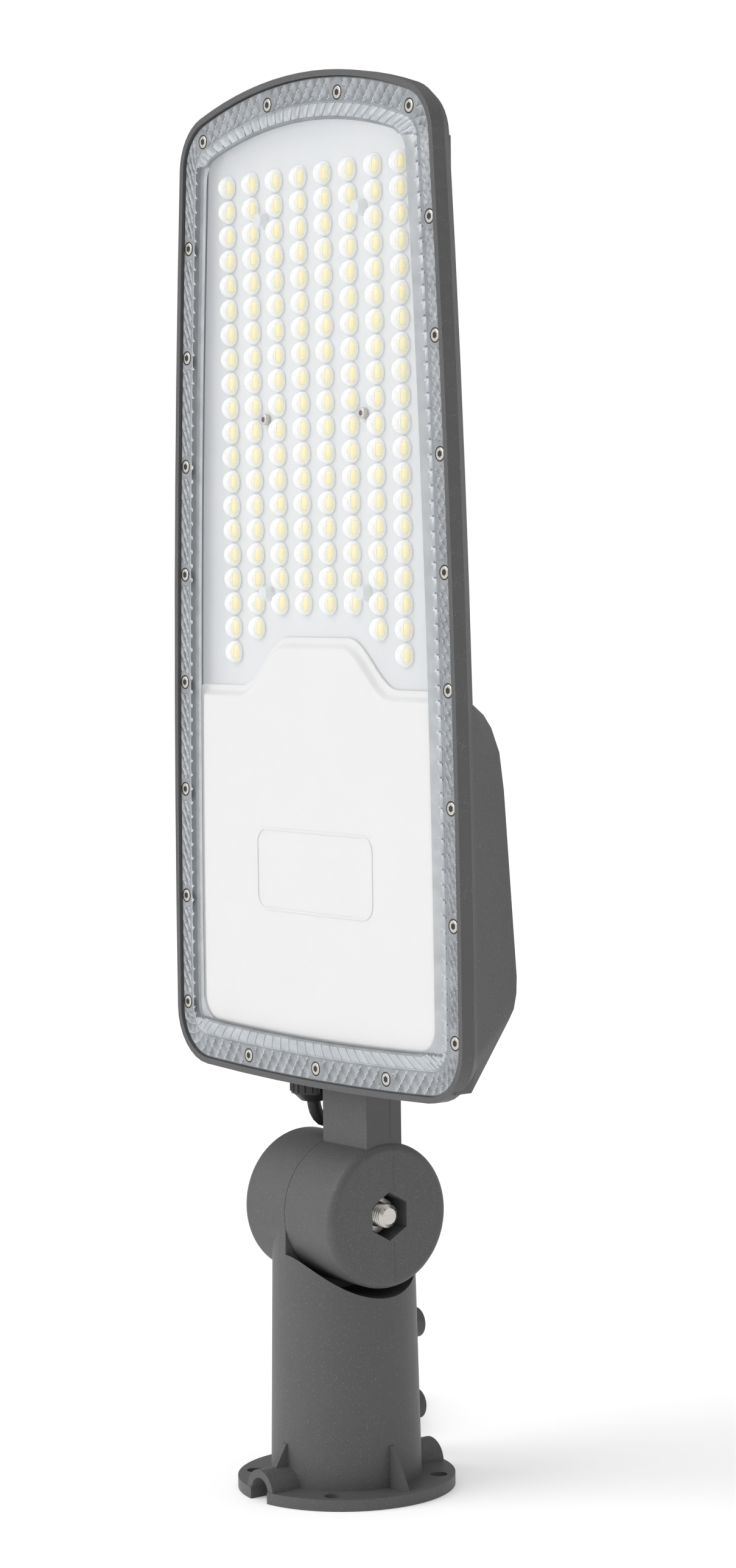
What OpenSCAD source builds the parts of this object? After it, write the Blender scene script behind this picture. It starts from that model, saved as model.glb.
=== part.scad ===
/* [Pole socket and flange] */
// Radius of the socket that takes the pole
socket_r = 31; // [28:0.5:32]
// Depth of the pole socket
socket_depth = 94; // [60:1:95]
// Outside radius of the socket tube at the flange
tube_r_low = 38.9; // [38:0.1:42]
// Outside radius of the socket tube under the knuckle
tube_r_high = 36.2; // [35:0.1:37]
// Radius of the mounting flange
flange_r = 56; // [55:0.5:66]
// Thickness of the mounting flange
flange_t = 6; // [4:0.5:10]
// Radius of the flange bolt circle
flange_pcd_r = 47.8; // [47:0.1:49]
// Radius of the flange bolt holes
flange_hole_r = 4.4; // [3:0.1:5]
// Height of the triangular flange ribs
rib_h = 22; // [12:1:30]
// Half width of the cable tunnels in the flange
tunnel_half_w = 7; // [5:0.5:8]
// Height of the cable tunnels' passage
tunnel_h = 12; // [9:0.5:13]
// Radius of the set screw bosses
boss_r = 7.8; // [7:0.1:9]
// Distance of the boss faces from the tube axis
boss_reach = 46.5; // [44:0.5:56]
// Height of the lower set screw
boss_low_z = 35; // [32:1:45]
// Height of the upper set screw
boss_high_z = 78; // [65:1:82]
// Radius of the set screws
set_screw_r = 5; // [3:0.5:5]

/* [Knuckle] */
// Height of the hinge axis above the flange face
hinge_z = 144.4; // [142:0.2:158]
// Radius of both knuckle discs
knuckle_r = 37.1; // [36:0.1:38]
// Width of the lower knuckle
knuckle_low_w = 36; // [32:1:42]
// Width of the upper knuckle
knuckle_high_w = 39.5; // [36:0.5:44]
// Rounding of the knuckles' outer edges
knuckle_round = 4.5; // [2:0.5:6]
// Gap between the turning knuckle and the tube
knuckle_gap = 4.9; // [3:0.1:6]
// Radius of the hinge bolt
bolt_r = 6; // [5:0.5:7]
// Width across flats of the nut pocket
pocket_flats = 21.5; // [21:0.1:24]
// Depth of the nut pocket
pocket_depth = 18; // [15:1:20]

/* [Neck] */
// Width of the neck
neck_w = 37; // [30:1:38]
// Distance from the hinge plane to the neck's front face
neck_front = 12; // [9:0.5:14]
// Distance from the hinge plane to the neck's back face
neck_back = 10; // [8:0.5:14]
// Height of the neck's top above the hinge axis
neck_h = 78; // [70:1:79]

/* [Head] */
// Distance of the head's middle from the joint plane
head_x = 18; // [10:1:25]
// Half width of the head at its widest
head_half_w = 121; // [110:1:146]
// Height of the head's lower edge above the hinge axis
head_low = 66.3; // [64:0.1:70]
// Length of the head
head_l = 505.3; // [430:1:607]
// Radius of the bowed side edges
side_arc_r = 6200; // [4500:100:9000]
// Radius of the arched top edge
top_arc_r = 283; // [240:1:400]
// Radius of the bowed bottom edge
bottom_arc_r = 1900; // [1200:50:3000]
// Radius of the head's corners
corner_r = 28; // [26:1:36]
// Wall thickness of the cast housing
wall = 3; // [2:0.25:4]
// Distance of the rim's front edge in front of the hinge plane
rim_y = 30.7; // [29:0.1:33]
// Depth of the tray behind the rim
tray_d = 13.1; // [12:0.1:16]
// Depth of the driver bulge behind the tray
bulge_d = 29; // [24:0.5:34]
// Length of the driver bulge
bulge_l = 195; // [180:1:210]
// Number of cooling fins on the back
fin_count = 9; // [5:2:13]
// Height of the cooling fins
fin_h = 9; // [5:0.5:12]

/* [Lens cover] */
// Width of the lip round the cover
lip_w = 3; // [2:0.25:4]
// Play between the cover and the lip
cover_play = 0.3; // [0.2:0.05:0.6]
// Thickness of the cover's flange
cover_flange_t = 3; // [2.5:0.1:4]
// Thickness of the cover's window
window_t = 1.8; // [1.5:0.1:2.5]
// Height of the window above the flange
window_rise = 2; // [1:0.25:3]
// Inset of the window from the head's edge
window_inset = 22; // [20:0.5:25]
// Number of rim screws on each side
side_screws = 8; // [6:1:10]
// Radius of the rim screws' heads
rim_head_r = 3.3; // [3:0.1:4]
// Radius of the rim screws' threads
rim_thread_r = 2; // [1.5:0.1:2.2]

/* [Light panel] */
// Columns of light diodes
led_cols = 8; // [6:2:10]
// Full rows of light diodes
led_rows = 18; // [12:1:20]
// Distance between columns
led_pitch_x = 20.6; // [17:0.1:21]
// Distance between rows
led_pitch_z = 12.5; // [11:0.1:13]
// Radius of a lens dome
dome_r = 5.5; // [4:0.25:5.6]
// Half width of the hump in the driver cover
hump_half_w = 46; // [40:1:50]
// Height of the hump in the driver cover
hump_h = 25; // [15:1:28]
// Half width of the soft step on each side of the hump
hump_soft = 20; // [6:1:24]

/* [Cable] */
// Diameter of the supply cable
cable_d = 7; // [6:0.5:8]

/* [Hidden] */
$fn = 64;
fit = 0.05;      // running fit of the turning and sliding pins
parting = 0.15;  // half the gap between the two knuckles
eps = 0.01;

// Front to back places in the head, all measured from the hinge plane
back_y = -rim_y + tray_d;
flange_y = -rim_y + 1.5;
seat_y = flange_y + cover_flange_t + 1.2;
window_y = flange_y - window_rise;
floor_y = back_y - wall;
pad_t = 0.5;
board_t = 1.6;
plate_t = 0.6;
board_y = floor_y - pad_t - board_t;
plate_y = board_y - plate_t;
plateau_y = window_y + window_t + 0.8;

// Heights of the head's landmarks
head_z0 = hinge_z + head_low;
head_z1 = head_z0 + head_l;
bulge_z1 = head_z0 + bulge_l;
panel_z0 = bulge_z1 - 4;
shoulder_z = bulge_z1 + 6;
led_top_z = head_z1 - 49.7;
side_z = head_z0 + 39.3;
neck_top = hinge_z + neck_h;

// Insets of the cover's bands from the head's edge
side_band = 12.5;
end_band = 15.5;

// Gland on the head's sloping underside
gland_x = -17.5;
gland_y = -5;
gland_z = head_z0 + 2.8;
gland_nut_r = 11.5;
gland_thread_r = 8;
gland_exit_z = 198;

// Cable route from the gland's mouth over the knuckle to the hank behind the flange
route = [[-17.5, -5, 198], [-17.5, -3.6, 192], [-17.5, 0, 187.6], [-17.5, 6, 186], [-17.5, 14, 184.8],
         [-17.5, 22, 181], [-17.6, 31, 174], [-17.8, 38, 165], [-18, 42, 155], [-18.5, 43.5, 144],
         [-20, 44.5, 125], [-22, 45.5, 105], [-24, 46.5, 85], [-26.5, 48.5, 65], [-29.5, 51.5, 46],
         [-33, 55.5, 29], [-38, 60, 14], [-42, 64, 5.5], [-48, 68.5, 3.5], [-56, 74.5, 3.5]];
hank_start = [-56, 74.5];
hank_angle = 143;
hank_fold_r = 21;
hank_run = 66;
hank_lead = 12;
hank_end = 8;
core_l = 12;

function unit(v) = v / norm(v);
function arc(c, r, a0, a1, n) = [for (i = [1:n]) let (a = a0 + (a1 - a0) * i / n) c + r * [cos(a), sin(a)]];
function heading(from, to) = atan2(to.y - from.y, to.x - from.x);

// The point where two circles meet, on the left (side 1) or right (side -1) of the line between them
function meet(a, ra, b, rb, side) =
    let (d = norm(b - a), t = (ra * ra - rb * rb + d * d) / (2 * d), h = sqrt(ra * ra - t * t), u = (b - a) / d)
    a + t * u + side * h * [-u.y, u.x];

// Half width of the head at a height, from its bowed side
function side_x(z) = head_half_w - side_arc_r + sqrt(side_arc_r * side_arc_r - (z - side_z) * (z - side_z));

// Outline of the head, drawn in by one distance at the sides and another at the ends
function head_outline(side_in, end_in) =
    let (r = max(corner_r - (side_in + end_in) / 2, 3), a = [head_half_w - side_arc_r, side_z],
         ra = side_arc_r - side_in, b = [0, head_z1 - top_arc_r], rb = top_arc_r - end_in,
         c = [0, head_z0 + bottom_arc_r], rc = bottom_arc_r - end_in,
         top = meet(a, ra - r, b, rb - r, 1), low = meet(a, ra - r, c, rc - r, -1),
         half = concat(arc(c, rc, -90, heading(c, low), 3), arc(low, r, heading(c, low), heading(a, low), 8),
                       arc(a, ra, heading(a, low), heading(a, top), 8),
                       arc(top, r, heading(a, top), heading(b, top), 8), arc(b, rb, heading(b, top), 90, 8)))
    concat([[0, head_z0 + end_in]], half, [for (i = [len(half) - 2:-1:0]) [-half[i].x, half[i].y]]);

// A flat outline in the head's own plane, given thickness from y0 back to y1
module upright(y0, y1) {
    translate([head_x, y1, 0]) rotate([90, 0, 0]) linear_extrude(y1 - y0) children();
}
module head_slab(side_in, end_in, y0, y1) {
    upright(y0, y1) polygon(head_outline(side_in, end_in));
}
// A round bar along y, from y0 back to y1
module y_bar(r, x, z, y0, y1) {
    translate([x, y1, z]) rotate([90, 0, 0]) cylinder(r = r, h = y1 - y0);
}
// A round bar along the hinge axis, from x0 to x1
module x_bar(r, x0, x1) {
    translate([x0, 0, hinge_z]) rotate([0, 90, 0]) cylinder(r = r, h = x1 - x0);
}
// A hexagon along the hinge axis with its corners up and down
module x_hex(flats, x0, x1) {
    translate([x0, 0, hinge_z]) rotate([0, 90, 0]) cylinder(r = flats / sqrt(3), h = x1 - x0, $fn = 6);
}
// A knuckle disc whose outer edge is rounded, from the joint plane out to w
module knuckle_disc(w) {
    rotate([0, 90, 0]) rotate_extrude() {
        square([knuckle_r - knuckle_round, w]);
        square([knuckle_r, w - knuckle_round]);
        translate([knuckle_r - knuckle_round, w - knuckle_round]) circle(knuckle_round);
    }
}

// ---- Lower knuckle, tube and flange, one casting
rib_t = 3;
tunnel_wall = 4;
module flange_rib(angle) {
    rotate([0, 0, angle]) translate([tube_r_high, rib_t / 2, flange_t - 1]) rotate([90, 0, 0])
        linear_extrude(rib_t) polygon([[0, 0], [flange_r - tube_r_high - 4, 0], [3, rib_h], [0, rib_h]]);
}
module tunnel_arch(half_w, h) {
    square([2 * half_w, 2 * (h - half_w)], center = true);
    translate([0, h - half_w]) circle(half_w);
}
module tunnel(half_w, h, y0, y1) {
    translate([0, y1, 0]) rotate([90, 0, 0]) linear_extrude(y1 - y0) intersection() {
        tunnel_arch(half_w, h);
        translate([-half_w, 0]) square([2 * half_w, h]);
    }
}
module lower_knuckle() {
    cut_r = knuckle_r + knuckle_gap;
    tunnel_out = sqrt(flange_r * flange_r - pow(tunnel_half_w + tunnel_wall, 2));
    color("dimgray") difference() {
        union() {
            cylinder(r1 = tube_r_low, r2 = tube_r_high, h = hinge_z);
            cylinder(r = flange_r, h = flange_t);
            for (a = [0:90:270]) flange_rib(a);
            tunnel(tunnel_half_w + tunnel_wall, tunnel_h + tunnel_wall, -tunnel_out, tunnel_out);
            for (z = [boss_low_z, boss_high_z]) y_bar(boss_r, 0, z, 0, boss_reach);
            translate([-parting, 0, hinge_z]) mirror([1, 0, 0]) knuckle_disc(knuckle_low_w + 0.5 - parting);
        }
        // flat face of the knuckle, cut through the tube's side as well
        translate([-knuckle_low_w - knuckle_r, -knuckle_r, hinge_z - knuckle_r])
            cube([knuckle_r, 2 * knuckle_r, 2 * knuckle_r]);
        // room for the upper knuckle, on its own side of the joint plane
        x_bar(cut_r, -parting, tube_r_low + 2 * cut_r);
        translate([-parting, -tube_r_low, hinge_z]) cube([2 * tube_r_low, 2 * tube_r_low, cut_r]);
        translate([0, 0, -eps]) cylinder(r = socket_r, h = socket_depth + eps);
        for (a = [45:90:315]) rotate([0, 0, a]) translate([flange_pcd_r, 0, -eps])
            cylinder(r = flange_hole_r, h = flange_t + 2 * eps);
        for (s = [0, 180]) rotate([0, 0, s]) translate([0, 0, -eps])
            tunnel(tunnel_half_w, tunnel_h, -flange_r - 1, -socket_r + 1);
        for (z = [boss_low_z, boss_high_z]) y_bar(set_screw_r + fit, 0, z, 0, boss_reach + eps);
        x_bar(bolt_r + fit, -knuckle_low_w - eps, eps);
        x_hex(pocket_flats, -knuckle_low_w - eps, -knuckle_low_w + pocket_depth / 2);
    }
}

// ---- Set screws with a hexagon socket, cup point inwards
set_screw_l = boss_reach - socket_r - 1.5;
module set_screw(z) {
    color("silver") difference() {
        union() {
            y_bar(set_screw_r, 0, z, boss_reach - set_screw_l + 1, boss_reach - 0.5);
            y_bar(set_screw_r - 1.5, 0, z, boss_reach - set_screw_l, boss_reach - set_screw_l + 1 + eps);
        }
        translate([0, boss_reach, z]) rotate([90, 0, 0]) cylinder(r = set_screw_r / sqrt(3), h = 6, $fn = 6);
    }
}
module set_screw_lower() { set_screw(boss_low_z); }
module set_screw_upper() { set_screw(boss_high_z); }

// ---- Hinge bolt, washers and nut
bolt_head_x = -knuckle_low_w + pocket_depth / 2;
washer_t = 2.5;
nut_flats = 3 * bolt_r;
nut_x = knuckle_high_w - pocket_depth + washer_t;
nut_t = 1.7 * bolt_r;
module hinge_bolt() {
    color("silver") {
        x_hex(nut_flats, bolt_head_x - washer_t - 1.2 * bolt_r, bolt_head_x - washer_t);
        x_bar(bolt_r, bolt_head_x - washer_t, knuckle_high_w - 1);
        translate([knuckle_high_w - 1, 0, hinge_z]) rotate([0, 90, 0])
            cylinder(r1 = bolt_r, r2 = bolt_r - 1, h = 1);
    }
}
module washer(x0) {
    difference() {
        x_bar(nut_flats / 2 + 0.8, x0, x0 + washer_t);
        x_bar(bolt_r + fit, x0 - eps, x0 + washer_t + eps);
    }
}
module hinge_washers() {
    color("silver") {
        washer(bolt_head_x - washer_t);
        washer(nut_x - washer_t);
    }
}
module hinge_nut() {
    color("silver") difference() {
        intersection() {
            x_hex(nut_flats, nut_x, nut_x + nut_t);
            x_bar(nut_flats / 2 + 1.1, nut_x, nut_x + nut_t);
        }
        x_bar(bolt_r + fit, nut_x - eps, nut_x + nut_t + eps);
    }
}

// ---- Upper knuckle with the neck that carries the head
module upper_knuckle() {
    color("dimgray") difference() {
        union() {
            translate([parting, 0, hinge_z]) knuckle_disc(knuckle_high_w - parting);
            translate([parting, -neck_front, hinge_z]) cube([neck_w - parting, neck_front + neck_back, neck_h]);
        }
        x_bar(bolt_r + fit, -eps, knuckle_high_w + eps);
        x_hex(pocket_flats, knuckle_high_w - pocket_depth, knuckle_high_w + eps);
        for (s = [-1, 1]) neck_bolt_hole(s);
    }
}
gasket_t = 1;
bolt_spread = 9.5;
neck_bolt_r = 4;
mid_y = (neck_back - neck_front) / 2;
pad_top = neck_top + 40;
neck_bolt_grip = 20;
module neck_bolt_hole(s) {
    translate([neck_w / 2 + s * bolt_spread, mid_y, neck_top - neck_bolt_grip - 4])
        cylinder(r = neck_bolt_r + fit, h = neck_bolt_grip + pad_top - neck_top + 5);
}
module neck_gasket() {
    color("black") difference() {
        translate([1, 1 - neck_front, neck_top]) cube([neck_w - 2, neck_front + neck_back - 2, gasket_t]);
        for (s = [-1, 1]) neck_bolt_hole(s);
    }
}
module neck_bolts() {
    shank_l = neck_bolt_grip + pad_top - neck_top;
    color("silver") for (s = [-1, 1]) translate([neck_w / 2 + s * bolt_spread, mid_y, pad_top]) {
        translate([0, 0, -shank_l]) cylinder(r = neck_bolt_r, h = shank_l + eps);
        difference() {
            cylinder(r = 6.5, h = 8);
            translate([0, 0, 4]) cylinder(r = 3.5, h = 5, $fn = 6);
        }
    }
}

// ---- Housing: cast tray, driver bulge, fins, neck pad and gland boss
tray_taper = 3.5;
bulge_taper = 10;
// Side view of the bulge as [y, z]: domed shoulder, sloping back, rounded heel, sloping foot
function bulge_side(t) =
    let (y1 = back_y + bulge_d, z0 = head_z0 + t * 1.3, z1 = bulge_z1 - t)
    [[back_y, z1], [back_y + 10.3 - t, z1 - 5.5], [back_y + 15 - t, z1 - 12], [back_y + 19.8 - t, z1 - 24],
     [back_y + 22.3 - t, z1 - 42], [y1 - t, z0 + 62], [y1 - 0.3 - t, z0 + 54], [y1 - 2 - t, z0 + 46.5],
     [y1 - 5.5 - t, z0 + 41], [y1 - 11 - t, z0 + 35.5], [-rim_y + 3, z0 + 8], [back_y, z0 + 8]];
module bulge(t) {
    hull() {
        intersection() {
            head_slab(tray_taper + t, tray_taper + t, back_y - 6, back_y);
            translate([head_x - head_half_w, -rim_y, head_z0]) cube([2 * head_half_w, tray_d, bulge_l - t]);
        }
        translate([head_x - head_half_w + bulge_taper + t, 0, 0]) rotate([90, 0, 90])
            linear_extrude(2 * (head_half_w - bulge_taper - t)) polygon(bulge_side(t));
    }
}
function rim_screw_places() =
    let (pitch = (head_l - 112) / (side_screws - 1),
         zs = [for (i = [0:side_screws - 1]) head_z0 + 33.3 + pitch * i],
         top = [for (k = [-3:2:3]) (top_arc_r - 11) * [sin(6.2 * k), cos(6.2 * k)] + [0, head_z1 - top_arc_r]],
         low = [for (k = [-1:1:1]) [58.4 * k, head_z0 + 9.3 + pow(58.4 * k, 2) / 2 / bottom_arc_r]])
    concat([for (z = zs, s = [-1, 1]) [s * (side_x(z) - 7.5), z]], top, low);
module at_rim_screws() {
    for (p = rim_screw_places()) translate([head_x + p.x, 0, p.y]) children();
}
screw_tip_y = back_y - 2;
module housing() {
    fin_pitch = 2 * (head_half_w - 30) / (fin_count - 1);
    color("dimgray") difference() {
        union() {
            head_slab(0, 0, -rim_y, -rim_y + 7.5);
            hull() {
                head_slab(0, 0, -rim_y + 7.4, -rim_y + 7.5);
                head_slab(tray_taper, tray_taper, back_y - 0.1, back_y);
            }
            bulge(0);
            for (i = [0:fin_count - 1]) let (u = -head_half_w + 30 + i * fin_pitch, arch = u * u / 2 / top_arc_r)
                translate([head_x + u - 1.5, back_y - 1, bulge_z1 - 12])
                    cube([3, fin_h + 1, head_z1 - bulge_z1 - 12 - arch]);
            translate([0, -neck_front, neck_top + gasket_t]) cube([neck_w, neck_front + neck_back, 20]);
            translate([gland_x, gland_y, gland_z]) cylinder(r = 13.5, h = 26);
        }
        head_slab(lip_w, lip_w, -rim_y - 1, seat_y);
        head_slab(side_band + 2, end_band + 2, seat_y - 1, floor_y);
        difference() {
            bulge(wall);
            translate([0, -neck_front, neck_top])
                cube([neck_w, neck_front + neck_back + 1, pad_top - neck_top]);
            translate([head_x - head_half_w, -rim_y, head_z0]) cube([2 * head_half_w, rim_y + floor_y, 12]);
            at_driver_screws() y_bar(5, 0, 0, driver_y + driver_t, back_y + bulge_d);
            translate([earth_x, 0, earth_z]) y_bar(6, 0, 0, earth_y + 3, back_y + bulge_d);
        }
        at_driver_screws() y_bar(2 + fit, 0, 0, driver_y + driver_t - 1, driver_y + driver_t + 1.6);
        translate([earth_x, 0, earth_z]) y_bar(2 + fit, 0, 0, earth_y + 2, earth_y + 5.6);
        fixing_places([screw_row]) y_bar(1.5 + fit, 0, 0, floor_y - 1, floor_y + 2.6);
        translate([gland_x, gland_y, gland_z - eps]) cylinder(r = gland_thread_r + fit, h = 30);
        translate([gland_x, gland_y, gland_z + 9]) cylinder(r = 12, h = 30);
        for (s = [-1, 1]) neck_bolt_hole(s);
        at_rim_screws() y_bar(rim_thread_r + fit, 0, 0, seat_y - 1, screw_tip_y);
    }
}

// ---- Light panel
function led_places() =
    let (mid = (led_cols - 1) / 2, wide = 6.5)
    concat([for (r = [0:led_rows - 1], c = [0:led_cols - 1])
                [(c - mid) * led_pitch_x, led_top_z - r * led_pitch_z]],
           [for (c = [0, 1, led_cols - 2, led_cols - 1])
                [(c - mid) * led_pitch_x, led_top_z - led_rows * led_pitch_z]],
           [for (c = [0, led_cols - 1]) [(c - mid) * led_pitch_x, led_top_z - (led_rows + 1) * led_pitch_z]]);
screw_x = 2 * led_pitch_x;
screw_row = 9.55;
post_rows = [1.55, 16.6];
module panel_area(in, y0, y1) {
    intersection() {
        head_slab(side_band + in, end_band + in, y0, y1);
        translate([head_x - head_half_w, y0 - 1, panel_z0]) cube([2 * head_half_w, y1 - y0 + 2, head_l]);
    }
}
module fixing_places(rows) {
    for (s = [-1, 1], r = rows) translate([head_x + s * screw_x, 0, led_top_z - r * led_pitch_z]) children();
}
module panel_holes() {
    fixing_places([screw_row]) y_bar(1.6, 0, 0, -rim_y, floor_y + 3);
}
module thermal_pad() {
    color("lightblue") difference() {
        panel_area(3, floor_y - pad_t, floor_y);
        panel_holes();
    }
}
module led_board() {
    color("white") difference() {
        panel_area(2.5, board_y, floor_y - pad_t);
        panel_holes();
    }
}
led_t = 0.7;
module leds() {
    color("khaki") for (p = led_places())
        translate([head_x + p.x - 1.5, board_y - led_t, p.y - 1.5]) cube([3, led_t, 3]);
}
module lens_array() {
    color("lightcyan") difference() {
        union() {
            panel_area(3, plate_y, board_y);
            for (p = led_places()) translate([head_x + p.x, plate_y + eps, p.y]) rotate([90, 0, 0])
                rotate_extrude($fn = 32) intersection() {
                    circle(dome_r);
                    square(dome_r);
                }
        }
        for (p = led_places())
            translate([head_x + p.x - 2, board_y - led_t - 0.2, p.y - 2]) cube([4, led_t + 1, 4]);
        panel_holes();
    }
}
module panel_screws() {
    color("silver") fixing_places([screw_row]) {
        y_bar(1.5, 0, 0, plate_y - 1.5, floor_y + 2.5);
        difference() {
            y_bar(2.8, 0, 0, plate_y - 3, plate_y - 0.8);
            translate([0, plate_y - 1.8, 0]) rotate([90, 0, 0]) cylinder(r = 1.2, h = 2, $fn = 6);
        }
    }
}
module panel_posts() {
    color("whitesmoke") fixing_places(post_rows) {
        y_bar(2.4, 0, 0, plate_y - 5, plate_y);
    }
}

// ---- Driver bay
driver_z = head_z0 + 66;
driver_l = 105;
driver_w = 140;
driver_t = 16;
driver_y = floor_y + 2;
module at_driver_screws() {
    for (s = [-1, 1], z = [10, driver_l - 10])
        translate([head_x + s * (driver_w / 2 - 8), 0, driver_z + z]) children();
}
module driver() {
    color("lightgray") difference() {
        translate([head_x - driver_w / 2, driver_y, driver_z]) cube([driver_w, driver_t, driver_l]);
        at_driver_screws() y_bar(2 + fit, 0, 0, driver_y - 1, driver_y + driver_t + 1);
    }
}
module driver_screws() {
    color("silver") at_driver_screws() {
        y_bar(3.5, 0, 0, driver_y - 2.5, driver_y);
        y_bar(2, 0, 0, driver_y - eps, driver_y + driver_t + 1.5);
    }
}
module surge_protector() {
    color("royalblue") translate([head_x + driver_w / 2 + 0.2, driver_y, driver_z + 30]) cube([20, 14, 42]);
}
module terminal_block() {
    color("ivory") translate([head_x - 62, driver_y, driver_z - 18.2]) cube([34, driver_t, 18]);
}
earth_x = neck_w + 14;
earth_y = back_y + bulge_d - wall - 5.5;
earth_z = driver_z - 8;
module earth_screw() {
    color("goldenrod") translate([earth_x, 0, earth_z]) {
        y_bar(4, 0, 0, earth_y, earth_y + 3);
        y_bar(2, 0, 0, earth_y + 3 - eps, earth_y + 5.5);
    }
}
module led_leads() {
    lead_y = driver_y + 1.5;
    lead_r = 1.2;
    color("firebrick") for (s = [-1, 1]) translate([head_x + 4 * s, 0, 0]) {
        translate([0, lead_y, driver_z + driver_l])
            cylinder(r = lead_r, h = panel_z0 - driver_z - driver_l - 0.1);
        y_bar(lead_r, 0, panel_z0 - lead_r - 0.1, board_y, lead_y);
    }
}

// White cover over the driver bay, with a raised field and a hump at its top edge
function hump(u, w, e) =
    abs(u) > w + e ? 0 : abs(u) < w - e ? 1 : (1 + cos(180 * (abs(u) - w + e) / (2 * e))) / 2;
module cover_area(in, drop, y0, y1) {
    w = hump_half_w - drop / 3;
    places = [for (side = [1, -1], i = [6:-1:-6]) side * w + hump_soft * i / 6];
    intersection() {
        head_slab(side_band + in, end_band + in, y0, y1);
        upright(y0 - 1, y1 + 1) polygon(concat([[head_half_w, head_z0], [head_half_w, shoulder_z - drop]],
            [for (u = places) [u, shoulder_z - drop + hump_h * hump(u, w, hump_soft)]],
            [[-head_half_w, shoulder_z - drop], [-head_half_w, head_z0]]));
    }
}
// The cover's sloping edge, as a few level steps drawn in towards the front
module cover_steps(in0, in1, drop0, drop1, y0, y1, steps) {
    for (k = [1:steps]) let (a = (k - 1) / max(steps - 1, 1))
        cover_area(in0 + (in1 - in0) * a, drop0 + (drop1 - drop0) * a, y1 + (y0 - y1) * k / steps, y1);
}
badge_w = 98;
badge_h = 42;
module badge(grow, y0, y1) {
    upright(y0, y1) translate([0, head_z0 + 108]) {
        square([badge_w - 16 + 2 * grow, badge_h + 2 * grow], center = true);
        square([badge_w + 2 * grow, badge_h - 16 + 2 * grow], center = true);
        for (i = [-1, 1], k = [-1, 1])
            translate([i * (badge_w / 2 - 8), k * (badge_h / 2 - 8)]) circle(8 + grow, $fn = 32);
    }
}
module driver_cover() {
    base_y = plate_y - 0.3;
    color("white") difference() {
        union() {
            cover_area(4, 0, base_y - 1.2, base_y);
            cover_steps(7, 12, 2.5, 6, plateau_y, base_y - 1, 4);
            difference() {
                badge(0.4, plateau_y - 0.3, plateau_y + eps);
                badge(-0.4, plateau_y - 0.4, plateau_y + 1);
            }
        }
        cover_steps(9, 14, 4.5, 8, plateau_y + 1.6, base_y + 0.1, 3);
    }
}

// ---- Lens cover, gasket and rim screws
module lens_gasket() {
    color("gray") difference() {
        head_slab(lip_w + 0.8, lip_w + 0.8, seat_y - 1.2, seat_y);
        head_slab(side_band - 1, end_band - 1, seat_y - 2, seat_y + 1);
        at_rim_screws() y_bar(rim_thread_r + 0.5, 0, 0, seat_y - 2, seat_y + 1);
    }
}
module lens_cover() {
    color("lightcyan", 0.4) difference() {
        union() {
            head_slab(lip_w + cover_play, lip_w + cover_play, flange_y, flange_y + cover_flange_t);
            hull() {
                head_slab(side_band, end_band, flange_y, flange_y + 0.1);
                head_slab(window_inset, window_inset + 1, window_y, window_y + 0.1);
            }
        }
        head_slab(side_band + 3, end_band + 3, flange_y + 1.2, flange_y + cover_flange_t + 1);
        head_slab(window_inset + 1, window_inset + 2, window_y + window_t, flange_y + cover_flange_t + 1);
        at_rim_screws() y_bar(rim_thread_r + 0.3, 0, 0, flange_y - 1, seat_y);
        at_rim_screws() y_bar(rim_head_r + 1.2, 0, 0, flange_y - 1, flange_y + 1.6);
    }
}
module rim_screws() {
    head_y = flange_y - 0.2;
    color("silver") at_rim_screws() {
        difference() {
            y_bar(rim_head_r, 0, 0, head_y, flange_y + 1.6);
            translate([0, head_y + 1, 0]) rotate([90, 0, 0]) cylinder(r = 1.5, h = 2, $fn = 6);
        }
        y_bar(rim_thread_r, 0, 0, flange_y + 1.6 - eps, screw_tip_y - 0.5);
    }
}

// ---- Cable gland
module gland_part(r, r_in, z0, z1) {
    translate([gland_x, gland_y, 0]) difference() {
        translate([0, 0, z0]) cylinder(r = r, h = z1 - z0);
        translate([0, 0, z0 - 1]) cylinder(r = r_in, h = z1 - z0 + 2);
    }
}
seal_r = 6.2;
nut_top_z = gland_z - 4.2;
module gland_body() {
    color("black") {
        gland_part(gland_nut_r - 0.5, seal_r, gland_z - 4, gland_z);
        gland_part(gland_thread_r, seal_r, gland_z - eps, gland_z + 18);
    }
}
module gland_locknut() {
    color("black") gland_part(11, gland_thread_r + fit, gland_z + 9, gland_z + 13);
}
module gland_seal() {
    color("black") gland_part(seal_r - 0.1, cable_d / 2, gland_exit_z + 3, gland_z + 2);
}
module gland_nut() {
    color("black") translate([gland_x, gland_y, 0]) difference() {
        union() {
            translate([0, 0, gland_exit_z + 4]) cylinder(r = gland_nut_r, h = nut_top_z - gland_exit_z - 4);
            translate([0, 0, gland_exit_z]) cylinder(r1 = cable_d / 2 + 3, r2 = gland_nut_r - 0.8, h = 4 + eps);
            for (a = [0:20:340]) rotate([0, 0, a]) translate([gland_nut_r, 0, gland_exit_z + 5])
                cylinder(r = 0.7, h = nut_top_z - gland_exit_z - 5, $fn = 16);
        }
        translate([0, 0, gland_exit_z - 1]) cylinder(r = cable_d / 2, h = 12);
        translate([0, 0, gland_exit_z + 3]) cylinder(r = seal_r, h = 20);
    }
}

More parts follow.
